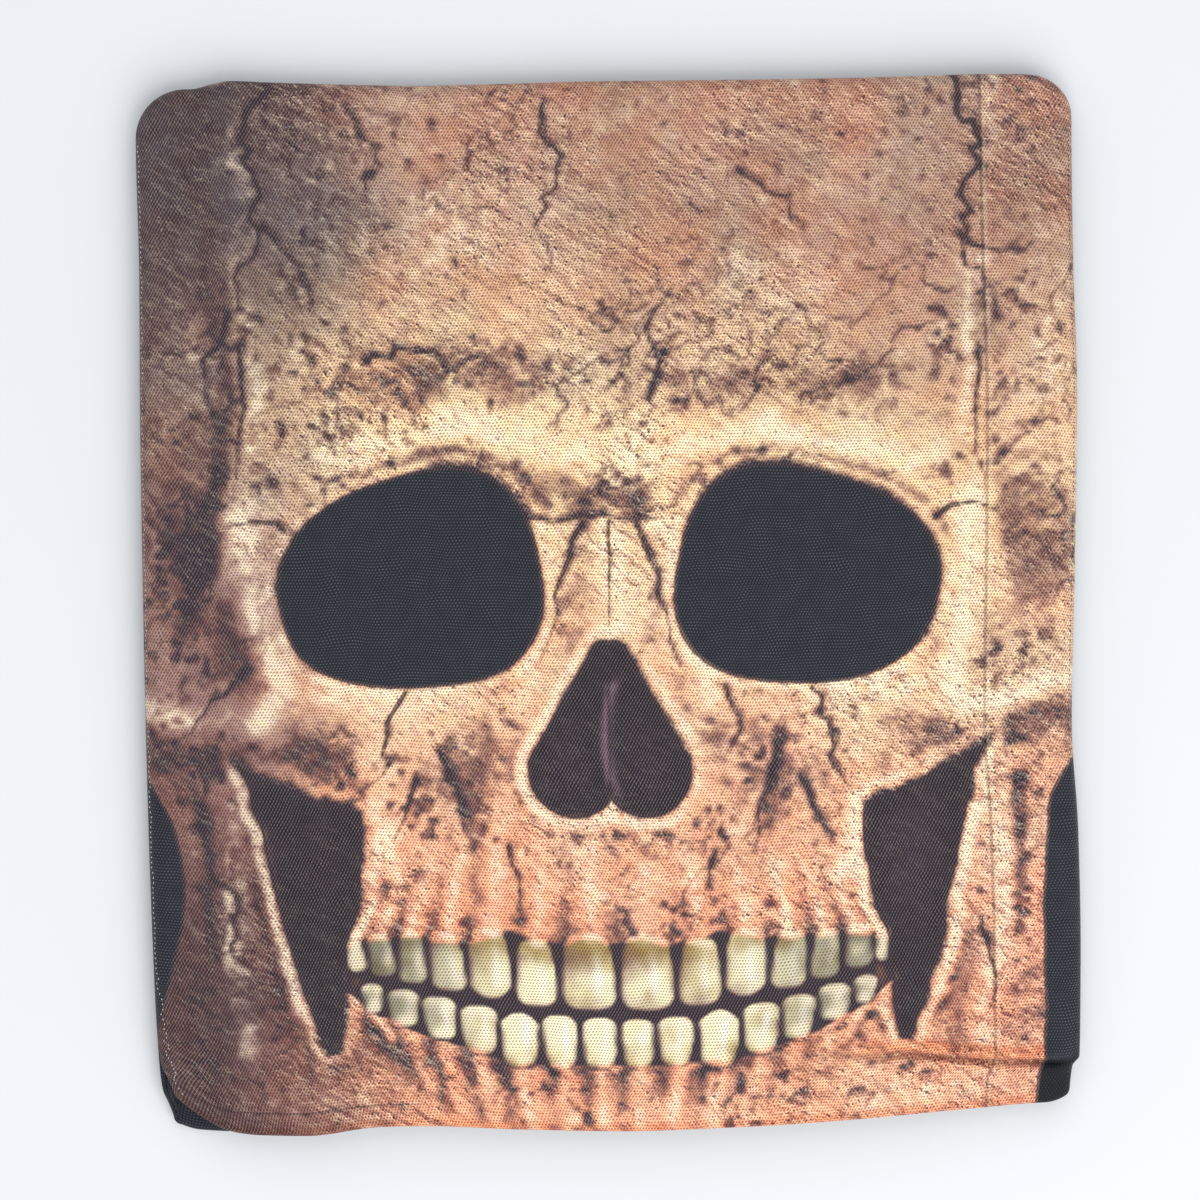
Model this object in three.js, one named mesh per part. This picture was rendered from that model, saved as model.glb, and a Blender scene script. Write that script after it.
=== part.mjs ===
// A pull-over skull mask of printed mesh knit, lying flat on its back with its face up.
// Two cloth panels are sewn together along both sides and over the crown, and stay open at the neck.
// The seam's edges are turned inside, and each panel's neck edge is turned up into a hem.
// Millimetres, +Z up, +Y from the neck to the crown, +X to the right of someone who looks at the face.
// The origin is on the floor, under the middle of the mask.

import * as THREE from 'three';

// The flat mask
const FLAT_WIDTH = 240;
const FLAT_LENGTH = 268;
const REST_HEIGHT = 13;
const SEAM_HEIGHT = 5.6;
const FOLD_RADIUS = 5;
const SIDE_SLACK = 2.2;
const SLACK_REACH = 48;
const CROWN_RADIUS_LEFT = 13;
const CROWN_RADIUS_RIGHT = 9.5;

// The cloth, its hem and its turned-in seam
const CLOTH_THICKNESS = 1;
const HEM_DEPTH = 12;
const SEAM_ALLOWANCE = 6;
const SEAM_PLY = 0.9;
const SEAM_SETBACK = 1.4;
const STITCHED_GAP = 0.3;

// How finely the curved cloth is divided
const FOLD_STEPS = 5;
const CROWN_STEPS = 8;
const HEM_STEPS = 4;
const DRAPE_STEPS = 4;
const FACE_ROWS = 20;
const FACE_COLUMNS = 22;
const BACK_ROWS = 12;
const BACK_COLUMNS = 12;
const SEAM_SIDE_STEPS = 26;
const SEAM_CROWN_STEPS = 20;
const SEAM_CORNER_STEPS = 7;

// How far each side edge is drawn in, as a share of the width, from the neck (0) to the crown (1).
const SIDE_EDGES = [
  { along: 0, left: 0.0395, right: 0.0135 },
  { along: 0.014, left: 0.0345, right: 0.0125 },
  { along: 0.033, left: 0.029, right: 0.0095 },
  { along: 0.06, left: 0.0255, right: 0.0015 },
  { along: 0.085, left: 0.0235, right: 0.0003 },
  { along: 0.146, left: 0.02, right: 0 },
  { along: 0.26, left: 0.0152, right: 0.0025 },
  { along: 0.37, left: 0.0117, right: 0.0095 },
  { along: 0.54, left: 0.0077, right: 0.0058 },
  { along: 0.69, left: 0.0046, right: 0.0038 },
  { along: 0.82, left: 0.0018, right: 0.0079 },
  { along: 0.93, left: 0, right: 0.0112 },
  { along: 1, left: 0, right: 0.0115 },
];

// How far the neck and crown edges are drawn in, as a share of the length, from left (0) to right (1).
const END_EDGES = [
  { across: 0, neck: 0.012, crown: 0.0145 },
  { across: 0.06, neck: 0.0015, crown: 0.0145 },
  { across: 0.085, neck: 0.0005, crown: 0.0088 },
  { across: 0.1, neck: 0, crown: 0.0066 },
  { across: 0.15, neck: 0, crown: 0.0082 },
  { across: 0.23, neck: 0.0082, crown: 0.0102 },
  { across: 0.29, neck: 0.0093, crown: 0.0112 },
  { across: 0.39, neck: 0.0063, crown: 0.0094 },
  { across: 0.5, neck: 0.0047, crown: 0.0068 },
  { across: 0.63, neck: 0.0085, crown: 0.0056 },
  { across: 0.76, neck: 0.0159, crown: 0.0037 },
  { across: 0.86, neck: 0.0236, crown: 0.0012 },
  { across: 0.9, neck: 0.0262, crown: 0 },
  { across: 0.94, neck: 0.0292, crown: 0 },
  { across: 1, neck: 0.034, crown: 0.006 },
];

// The face's height over the floor in the middle of each section, as a share of the rest height.
const FACE_SECTIONS = [
  { along: 0, height: 0.86 },
  { along: 0.05, height: 0.9 },
  { along: 0.14, height: 0.95 },
  { along: 0.35, height: 0.985 },
  { along: 0.55, height: 1 },
  { along: 0.8, height: 0.985 },
  { along: 0.93, height: 0.95 },
  { along: 1, height: 0.93 },
];

// Folds and dents of the face. Each lies between two ends, given across the width and along the length,
// with its half-width as a share of the width and its rise (below 0, its dent) at each end as shares of the
// rest height.
const FACE_FOLDS = [
  { name: 'hem step', fromAcross: 0.66, fromAlong: 0.082, toAcross: 1.02, toAlong: 0.044,
    halfWidth: 0.017, fromRise: -0.01, toRise: -0.2 },
  { name: 'hem roll', fromAcross: 0.7, fromAlong: 0.03, toAcross: 1.02, toAlong: 0.012,
    halfWidth: 0.022, fromRise: -0.01, toRise: -0.08 },
  { name: 'packing crease', fromAcross: 0.905, fromAlong: 0.1, toAcross: 0.9, toAlong: 0.99,
    halfWidth: 0.0085, fromRise: -0.045, toRise: -0.03 },
  { name: 'left crown pull', fromAcross: 0.1, fromAlong: 0.985, toAcross: 0.2, toAlong: 0.8,
    halfWidth: 0.03, fromRise: 0.03, toRise: 0 },
  { name: 'right crown pull', fromAcross: 0.93, fromAlong: 0.98, toAcross: 0.76, toAlong: 0.84,
    halfWidth: 0.035, fromRise: 0.025, toRise: 0 },
  { name: 'brow swell', fromAcross: 0.2, fromAlong: 0.66, toAcross: 0.62, toAlong: 0.72,
    halfWidth: 0.12, fromRise: 0.01, toRise: 0.02 },
  { name: 'cheek hollow', fromAcross: 0.1, fromAlong: 0.24, toAcross: 0.44, toAlong: 0.33,
    halfWidth: 0.07, fromRise: -0.055, toRise: -0.01 },
  { name: 'jaw hollow', fromAcross: 0.5, fromAlong: 0.16, toAcross: 0.84, toAlong: 0.25,
    halfWidth: 0.075, fromRise: -0.015, toRise: -0.05 },
  { name: 'neck sag', fromAcross: 0.24, fromAlong: -0.01, toAcross: 0.34, toAlong: 0.07,
    halfWidth: 0.045, fromRise: -0.05, toRise: -0.005 },
];
// Extra columns on each side of the packing crease, as shares of the width.
const CREASE_COLUMNS = [0.893, 0.902, 0.911];

const PRINTED_CLOTH = { color: 0xc9a284, roughness: 0.86, metalness: 0 };
const BLACK_CLOTH = { color: 0x23252c, roughness: 0.8, metalness: 0 };

const clampToUnit = (value) => Math.min(Math.max(value, 0), 1);
const easeInOut = (value) => clampToUnit(value) ** 2 * (3 - 2 * clampToUnit(value));

// A smooth curve through one column of a table, which never passes its rows' highest or lowest value.
function readTable(rows, place, column, at) {
  const last = rows.length - 1;
  const found = rows.findIndex((row) => row[place] > at);
  const low = found < 0 ? last - 1 : Math.max(found - 1, 0);
  const step = (row, key) => rows[row + 1][key] - rows[row][key];
  const slope = (row) => step(row, column) / step(row, place);
  const tangent = (row) => {
    if (row === 0 || row === last) return slope(Math.min(row, last - 1));
    const [before, after] = [slope(row - 1), slope(row)];
    return before * after > 0 ? (2 * before * after) / (before + after) : 0;
  };
  const span = rows[low + 1][place] - rows[low][place];
  const t = clampToUnit((at - rows[low][place]) / span);
  return rows[low][column] * (1 + 2 * t) * (1 - t) ** 2 + tangent(low) * span * t * (1 - t) ** 2
    + rows[low + 1][column] * t * t * (3 - 2 * t) + tangent(low + 1) * span * t * t * (t - 1);
}

// The pattern is laid out in a plain rectangle: across from the middle, along from the neck edge.
const halfWidth = FLAT_WIDTH / 2;
const crownDepth = Math.max(CROWN_RADIUS_LEFT, CROWN_RADIUS_RIGHT, FOLD_RADIUS);

// How far a rounded corner of this radius takes the side in, at a depth below its end.
function cornerTake(radius, depth) {
  return depth < radius ? radius - Math.sqrt(radius ** 2 - (radius - depth) ** 2) : 0;
}

// Both ends of the row at this place along the length, on the outline drawn in by inset.
function rowEnds(along, inset) {
  const depth = Math.max(FLAT_LENGTH - inset - along, 0);
  const corner = (radius) => cornerTake(Math.max(radius - inset, 0), depth);
  return [inset - halfWidth + corner(CROWN_RADIUS_LEFT), halfWidth - inset - corner(CROWN_RADIUS_RIGHT)];
}

// The distance from a place of the pattern to the sewn outline, which leaves out the neck edge.
function seamDistance(across, along) {
  const radius = across < 0 ? CROWN_RADIUS_LEFT : CROWN_RADIUS_RIGHT;
  const beside = halfWidth - Math.abs(across);
  const below = FLAT_LENGTH - along;
  if (beside >= radius || below >= radius) return Math.min(beside, below);
  return radius - Math.hypot(radius - beside, radius - below);
}

// The rise of every fold and dent at a place of the pattern, in millimetres.
function foldRise(across, along) {
  let rise = 0;
  for (const fold of FACE_FOLDS) {
    const from = [fold.fromAcross * FLAT_WIDTH - halfWidth, fold.fromAlong * FLAT_LENGTH];
    const run = [fold.toAcross * FLAT_WIDTH - halfWidth - from[0], fold.toAlong * FLAT_LENGTH - from[1]];
    const square = run[0] ** 2 + run[1] ** 2;
    const t = clampToUnit(((across - from[0]) * run[0] + (along - from[1]) * run[1]) / square);
    const off = Math.hypot(across - from[0] - t * run[0], along - from[1] - t * run[1]);
    const height = fold.fromRise + (fold.toRise - fold.fromRise) * t;
    rise += height * REST_HEIGHT * Math.exp(-((off / (fold.halfWidth * FLAT_WIDTH)) ** 2));
  }
  return rise;
}

// How much of its full height the cloth has at a distance from the seam: a quarter of an ellipse.
function foldShare(distance, inset) {
  const t = clampToUnit((distance - inset) / (FOLD_RADIUS - inset));
  return Math.sqrt(1 - (1 - t) ** 2);
}

// The real place of a point of the pattern, with its edges drawn in as the tables say.
function placeOf(across, along, height) {
  const share = clampToUnit(across / FLAT_WIDTH + 0.5);
  const part = clampToUnit(along / FLAT_LENGTH);
  const left = readTable(SIDE_EDGES, 'along', 'left', part) * FLAT_WIDTH;
  const right = readTable(SIDE_EDGES, 'along', 'right', part) * FLAT_WIDTH;
  const neck = readTable(END_EDGES, 'across', 'neck', share) * FLAT_LENGTH;
  const crown = readTable(END_EDGES, 'across', 'crown', share) * FLAT_LENGTH;
  return new THREE.Vector3(
    across + left * (1 - share) - right * share,
    along - FLAT_LENGTH / 2 + neck * (1 - part) - crown * part,
    height,
  );
}

// The height of the face panel's cloth over the floor, on the layer drawn in by inset. It climbs steeply
// out of its fold, and then gently until it is out of the slack's reach.
function faceHeight(across, along, inset) {
  const distance = seamDistance(across, along);
  const foot = SEAM_HEIGHT + STITCHED_GAP / 2;
  const slack = SIDE_SLACK * easeInOut(1 - distance / SLACK_REACH);
  const top = readTable(FACE_SECTIONS, 'along', 'height', along / FLAT_LENGTH) * REST_HEIGHT - slack;
  const folds = foldRise(across, along) * easeInOut(distance / (2 * FOLD_RADIUS));
  return foot + (top - foot - inset) * foldShare(distance, inset) + folds;
}

// The height of the back panel's cloth, which lies flat on the floor inside its fold.
function backHeight(across, along, inset) {
  const head = SEAM_HEIGHT - STITCHED_GAP / 2;
  return head - (head - inset) * foldShare(seamDistance(across, along), inset);
}

// Distances in from an edge, close together where a fold of this radius is steep.
function foldSteps(radius, steps) {
  return Array.from({ length: steps + 1 }, (_, i) => radius * (1 - Math.cos((i / steps) * (Math.PI / 2))));
}

// Places from start to end, both included, evenly spaced.
function evenly(start, end, steps) {
  return Array.from({ length: steps + 1 }, (_, i) => start + ((end - start) * i) / steps);
}

// Rows along the length: the hem, the drape above it, the main rows, and close rows round the crown.
function rowPlaces(mainRows) {
  const drapeEnd = 2 * HEM_DEPTH;
  return [
    ...evenly(0, HEM_DEPTH, HEM_STEPS),
    ...evenly(HEM_DEPTH, drapeEnd, DRAPE_STEPS).slice(1),
    ...evenly(drapeEnd, FLAT_LENGTH - crownDepth, mainRows).slice(1, -1),
    ...foldSteps(crownDepth, CROWN_STEPS).map((depth) => FLAT_LENGTH - depth).reverse(),
  ];
}

// One layer of cloth as rows of points. Near the folds and the crown they keep to its outline.
function layer(rows, mainColumns, creases, heightOf, inset) {
  return rows.map((row) => {
    const depth = FLAT_LENGTH - row;
    const along = depth < crownDepth ? row - inset * (1 - depth / crownDepth) : row;
    const [left, right] = rowEnds(along, inset);
    const steps = foldSteps(FOLD_RADIUS, FOLD_STEPS).map((step) => step * (1 - inset / FOLD_RADIUS));
    const rim = steps[FOLD_STEPS];
    const middle = [
      ...evenly(0, 1, mainColumns).slice(1, -1),
      ...creases.map((share) => (share * FLAT_WIDTH - FOLD_RADIUS) / (FLAT_WIDTH - 2 * FOLD_RADIUS)),
    ].sort((a, b) => a - b);
    const columns = [
      ...steps.map((step) => left + step),
      ...middle.map((share) => left + rim + share * (right - left - 2 * rim)),
      ...steps.map((step) => right - step).reverse(),
    ];
    return columns.map((across) => placeOf(across, along, heightOf(across, along, inset)));
  });
}

// A closed wall of cloth between two layers with the same rows and columns.
function wallOfCloth(outer, inner, faceUp) {
  const rows = outer.length;
  const columns = outer[0].length;
  const points = [...outer.flat(), ...inner.flat()];
  const at = (isInner, row, column) => (isInner ? rows * columns : 0) + row * columns + column;
  const faces = [];
  const quad = (a, b, c, d) => {
    const corners = faceUp ? [a, b, c, a, c, d] : [a, c, b, a, d, c];
    faces.push(...corners);
  };
  for (let row = 0; row < rows - 1; row += 1) {
    for (let column = 0; column < columns - 1; column += 1) {
      const cell = (isInner) => [at(isInner, row, column), at(isInner, row, column + 1),
        at(isInner, row + 1, column + 1), at(isInner, row + 1, column)];
      quad(...cell(false));
      quad(...cell(true).reverse());
    }
    quad(at(true, row, 0), at(false, row, 0), at(false, row + 1, 0), at(true, row + 1, 0));
    const end = columns - 1;
    quad(at(false, row, end), at(true, row, end), at(true, row + 1, end), at(false, row + 1, end));
  }
  for (let column = 0; column < columns - 1; column += 1) {
    const top = rows - 1;
    const next = column + 1;
    quad(at(true, 0, column), at(true, 0, next), at(false, 0, next), at(false, 0, column));
    quad(at(false, top, column), at(false, top, next), at(true, top, next), at(true, top, column));
  }
  return solidGeometry(points, faces);
}

// A closed geometry from shared points and the corners of its triangles.
function solidGeometry(points, faces) {
  const geometry = new THREE.BufferGeometry().setFromPoints(points);
  geometry.setIndex(faces);
  geometry.computeVertexNormals();
  return geometry;
}

// A panel of the mask: a single cloth wall from the neck edge to the crown.
function panel(name, mainRows, mainColumns, creases, heightOf, faceUp, finish) {
  const rows = rowPlaces(mainRows);
  const outer = layer(rows, mainColumns, creases, heightOf, 0);
  const inner = layer(rows, mainColumns, creases, heightOf, CLOTH_THICKNESS);
  return namedMesh(name, wallOfCloth(outer, inner, faceUp), finish);
}

// A turned-in hem: a second wall that follows the inside of its panel, from the neck edge to the hem's depth.
function hem(name, mainColumns, creases, heightOf, faceUp, finish) {
  const rows = evenly(0, HEM_DEPTH, HEM_STEPS);
  const start = CLOTH_THICKNESS + STITCHED_GAP;
  const outer = layer(rows, mainColumns, creases, heightOf, start);
  const inner = layer(rows, mainColumns, creases, heightOf, start + CLOTH_THICKNESS);
  return namedMesh(name, wallOfCloth(outer, inner, faceUp), finish);
}

// The sewn outline drawn in by inset, up the left side, over the crown and down the right side.
function seamPath(inset, sideStart) {
  const corner = (radius) => Math.max(radius - inset, STITCHED_GAP);
  const [left, right] = [corner(CROWN_RADIUS_LEFT), corner(CROWN_RADIUS_RIGHT)];
  const [side, crown] = [halfWidth - inset, FLAT_LENGTH - inset];
  const arc = (x, y, radius, start) => evenly(start, start - Math.PI / 2, SEAM_CORNER_STEPS)
    .map((angle) => [x + radius * Math.cos(angle), y + radius * Math.sin(angle)]);
  return [
    ...evenly(sideStart, crown - left, SEAM_SIDE_STEPS).slice(0, -1).map((along) => [-side, along]),
    ...arc(left - side, crown - left, left, Math.PI),
    ...evenly(left - side, side - right, SEAM_CROWN_STEPS).slice(1, -1).map((across) => [across, crown]),
    ...arc(side - right, crown - right, right, Math.PI / 2),
    ...evenly(crown - right, sideStart, SEAM_SIDE_STEPS).slice(1).map((along) => [side, along]),
  ];
}

// The seam's two turned-in edges, stitched together: one flat strip that lies inside the whole sewn outline.
function seamStrip(finish) {
  const start = HEM_DEPTH + STITCHED_GAP;
  const edge = CLOTH_THICKNESS + SEAM_SETBACK;
  const outline = seamPath(edge, start);
  const inside = seamPath(edge + SEAM_ALLOWANCE, start);
  const points = outline.flatMap(([x, y], i) => [
    placeOf(x, y, SEAM_HEIGHT - SEAM_PLY),
    placeOf(x, y, SEAM_HEIGHT + SEAM_PLY),
    placeOf(inside[i][0], inside[i][1], SEAM_HEIGHT + SEAM_PLY),
    placeOf(inside[i][0], inside[i][1], SEAM_HEIGHT - SEAM_PLY),
  ]);
  const faces = [0, 2, 1, 0, 3, 2];
  for (let ring = 0; ring < outline.length - 1; ring += 1) {
    for (let side = 0; side < 4; side += 1) {
      const [a, b] = [4 * ring + side, 4 * ring + ((side + 1) % 4)];
      faces.push(a, b, b + 4, a, b + 4, a + 4);
    }
  }
  const end = 4 * (outline.length - 1);
  faces.push(end, end + 1, end + 2, end, end + 2, end + 3);
  return namedMesh('seam_allowance', solidGeometry(points, faces), finish);
}

function namedMesh(name, geometry, finish) {
  const mesh = new THREE.Mesh(geometry, new THREE.MeshStandardMaterial(finish));
  mesh.name = name;
  return mesh;
}

const mask = new THREE.Group();
mask.name = 'skull_mask';
mask.add(
  panel('face_panel', FACE_ROWS, FACE_COLUMNS, CREASE_COLUMNS, faceHeight, true, PRINTED_CLOTH),
  panel('back_panel', BACK_ROWS, BACK_COLUMNS, [], backHeight, false, BLACK_CLOTH),
  hem('face_hem', FACE_COLUMNS, CREASE_COLUMNS, faceHeight, true, BLACK_CLOTH),
  hem('back_hem', BACK_COLUMNS, [], backHeight, false, BLACK_CLOTH),
  seamStrip(BLACK_CLOTH),
);

export default mask;
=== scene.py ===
"""A pull-over skull mask of printed mesh knit, lying face up on a pale table, seen from straight above.

The cloth is worked out in millimetres on a flat pattern: across from the middle, along from the neck edge.
Each cloth piece is a grid of that pattern, rolled over at its sewn edges and drawn in to the real outline.
The print is painted on a canvas in the same pattern, and carried to the cloth as attributes of its vertices.
"""

import logging
import math
from dataclasses import dataclass, field
from enum import Enum
from functools import cached_property

import bpy
import numpy as np
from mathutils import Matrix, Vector

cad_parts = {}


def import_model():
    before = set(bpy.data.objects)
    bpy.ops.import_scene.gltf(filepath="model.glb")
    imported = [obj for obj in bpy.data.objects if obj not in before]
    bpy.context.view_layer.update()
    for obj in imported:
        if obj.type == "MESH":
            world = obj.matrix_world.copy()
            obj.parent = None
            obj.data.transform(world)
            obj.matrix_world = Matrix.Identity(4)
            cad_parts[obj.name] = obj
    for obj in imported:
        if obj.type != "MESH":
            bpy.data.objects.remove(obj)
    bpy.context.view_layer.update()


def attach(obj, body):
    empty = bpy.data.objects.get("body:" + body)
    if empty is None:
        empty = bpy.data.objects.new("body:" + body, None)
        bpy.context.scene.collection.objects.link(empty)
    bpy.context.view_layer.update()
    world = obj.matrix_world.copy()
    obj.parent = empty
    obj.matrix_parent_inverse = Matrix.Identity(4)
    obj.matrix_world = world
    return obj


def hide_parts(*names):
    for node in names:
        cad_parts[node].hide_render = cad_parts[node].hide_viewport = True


LOG = logging.getLogger("skull_mask")
MM = 0.001
WIDTH_SHARES = (0, 0.06, 0.085, 0.1, 0.15, 0.23, 0.29, 0.39, 0.5, 0.63, 0.76, 0.86, 0.9, 0.94, 1)
Array = np.ndarray
Pair = tuple[float, float]
Colour = tuple[float, float, float]
Vector3 = tuple[float, float, float]
Material = bpy.types.Material
Piece = bpy.types.Object


def ease(low: float, high: float, value: Array) -> Array:
    """The smooth step from 0 at low to 1 at high: 3 t squared less 2 t cubed.

    Args:
        low: where the step starts.
        high: where it ends, which may be below low.
        value: the numbers to step.

    Returns: the stepped numbers.
    """
    t = np.clip((value - low) / (high - low), 0.0, 1.0)
    return t * t * (3.0 - 2.0 * t)


def to_linear(colour: Array) -> Array:
    """Screen colour numbers from 0 to 1, as the light they stand for."""
    return np.where(colour <= 0.04045, colour / 12.92, ((np.maximum(colour, 0.0) + 0.055) / 1.055) ** 2.4)


def screen(red: float, green: float, blue: float) -> Colour:
    """A colour given as 0 to 255 on a screen, as light."""
    return tuple(float(part) for part in to_linear(np.array([red, green, blue]) / 255.0))


def blend(first: Array, second: Array | float, share: Array) -> Array:
    """Colours blended from the first at a share of 0 to the second at a share of 1."""
    share = share[..., None]
    return first * (1 - share) + second * share


def toned(share: Array, factor: Array | tuple[float, ...], depth: float = 1.0) -> Array:
    """What colours are multiplied by to take a share, times depth, of a factor: 1 at a share of 0."""
    return 1 - depth * share[..., None] * (1 - np.array(factor))


class Side(Enum):
    """Which panel of the mask a cloth belongs to."""

    FACE = "face"
    BACK = "back"


@dataclass(frozen=True)
class Curve:
    """A smooth curve through a short table, which never passes its rows' highest or lowest value."""

    places: tuple[float, ...]
    values: tuple[float, ...]

    def at(self, place: Array) -> Array:
        """Reads the curve: a cubic between rows, whose slopes are the harmonic means of its neighbours'.

        Args:
            place: where to read it.

        Returns: the values there.
        """
        x, y = np.array(self.places), np.array(self.values)
        slope = np.diff(y) / np.diff(x)
        before, after = slope[:-1], slope[1:]
        same = before * after > 0
        mean = np.where(same, 2 * before * after / np.where(same, before + after, 1.0), 0.0)
        tangent = np.concatenate(([slope[0]], mean, [slope[-1]]))
        low = np.clip(np.searchsorted(x, place, side="right") - 1, 0, len(x) - 2)
        span = x[low + 1] - x[low]
        t = np.clip((place - x[low]) / span, 0.0, 1.0)
        return (y[low] * (1 + 2 * t) * (1 - t) ** 2 + tangent[low] * span * t * (1 - t) ** 2
                + y[low + 1] * t * t * (3 - 2 * t) + tangent[low + 1] * span * t * t * (t - 1))


@dataclass(frozen=True)
class Fold:
    """A fold or dent of the face: a soft ridge between two ends, whose rise is negative in a dent."""

    start: Pair
    end: Pair
    half_width: float
    start_rise: float
    end_rise: float


@dataclass(frozen=True)
class HemCrease:
    """The crease along the top of the turned hem, over which the looser cloth above it rolls."""

    start: Pair = (36.0, 18.7)
    end: Pair = (121.0, 8.6)
    full_at: float = 0.6
    wave_height: float = 0.5
    wave_reach: float = 7.0
    roll: float = 2.7
    roll_start: float = -0.2
    width: float = 2.0
    recovery: float = 9.0
    dip: float = 1.3
    dip_width: float = 1.1
    seam_reach: float = 8.0
    run_up: float = 16.0
    # The band and the line are painted shade on the print: a deeper orange on the roll's face, and a brown
    # painted shadow in the crease.
    reach: float = 50.0
    band: float = 5.6
    band_fade: float = 2.2
    band_edge: float = 0.4
    roll_shade_colour: Colour = (0.9, 0.64, 0.48)
    line_width: float = 0.75
    line_depth: float = 0.85
    crease_shadow_colour: Colour = (0.26, 0.1, 0.09)

    def wave(self, across: Array) -> Array:
        """How far the crease wanders off a straight line: a sine of the place across."""
        return self.wave_height * np.sin(across / self.wave_reach)

    def locate(self, across: Array, along: Array) -> tuple[Array, Array]:
        """How far above the crease's line places are, and how strong the crease is beside them.

        Args:
            across, along: places on the pattern.

        Returns:
            The distances, and the strength from 0 at the line's start to 1 past half of its length.
        """
        run = (self.end[0] - self.start[0], self.end[1] - self.start[1])
        length = math.hypot(*run)
        x, y = across - self.start[0], along - self.start[1]
        above = (y * run[0] - x * run[1]) / length + self.wave(across)
        return above, ease(0.0, self.full_at, (x * run[0] + y * run[1]) / length**2)

    def follow(self, across: Array, row: Array) -> Array:
        """How far a cloth's rows are moved along, so that those next to the crease run with it.

        Args:
            across: places across the pattern.
            row: the rows' own places along it.

        Returns:
            The crease's place less its middle place, fading to nothing at the edge and at reach.
        """
        x = np.clip(across, self.start[0] - self.run_up, self.end[0])
        slope = (self.end[1] - self.start[1]) / (self.end[0] - self.start[0])
        line = self.start[1] + slope * (x - self.start[0]) - self.wave(x)
        middle = (self.start[1] + self.end[1]) / 2
        return (line - middle) * np.clip(row / middle, 0.0, 1.0) * ease(self.reach, middle, row)

    def rise(self, across: Array, along: Array) -> Array:
        """The rise: a narrow dip in the crease, a quick rise past it and a slow return above that."""
        above, strength = self.locate(across, along)
        roll = ease(self.roll_start, self.width, above)
        roll = roll * np.exp(-np.maximum(above - self.width, 0.0) / self.recovery)
        return strength * (self.roll * roll - self.dip * np.exp(-((above / self.dip_width) ** 2)))

    def darkening(self, across: Array, along: Array) -> Array:
        """Painted shade the print's colour is multiplied by: deeper orange on the roll's face, brown in the
        crease.
        """
        above, strength = self.locate(across, along)
        band = strength * ease(-self.band_edge, self.band_edge, above)
        band = band * ease(self.band, self.band - self.band_fade, above)
        line = strength * np.exp(-((above / self.line_width) ** 2))
        return toned(band, self.roll_shade_colour) * toned(line, self.crease_shadow_colour, self.line_depth)


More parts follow.
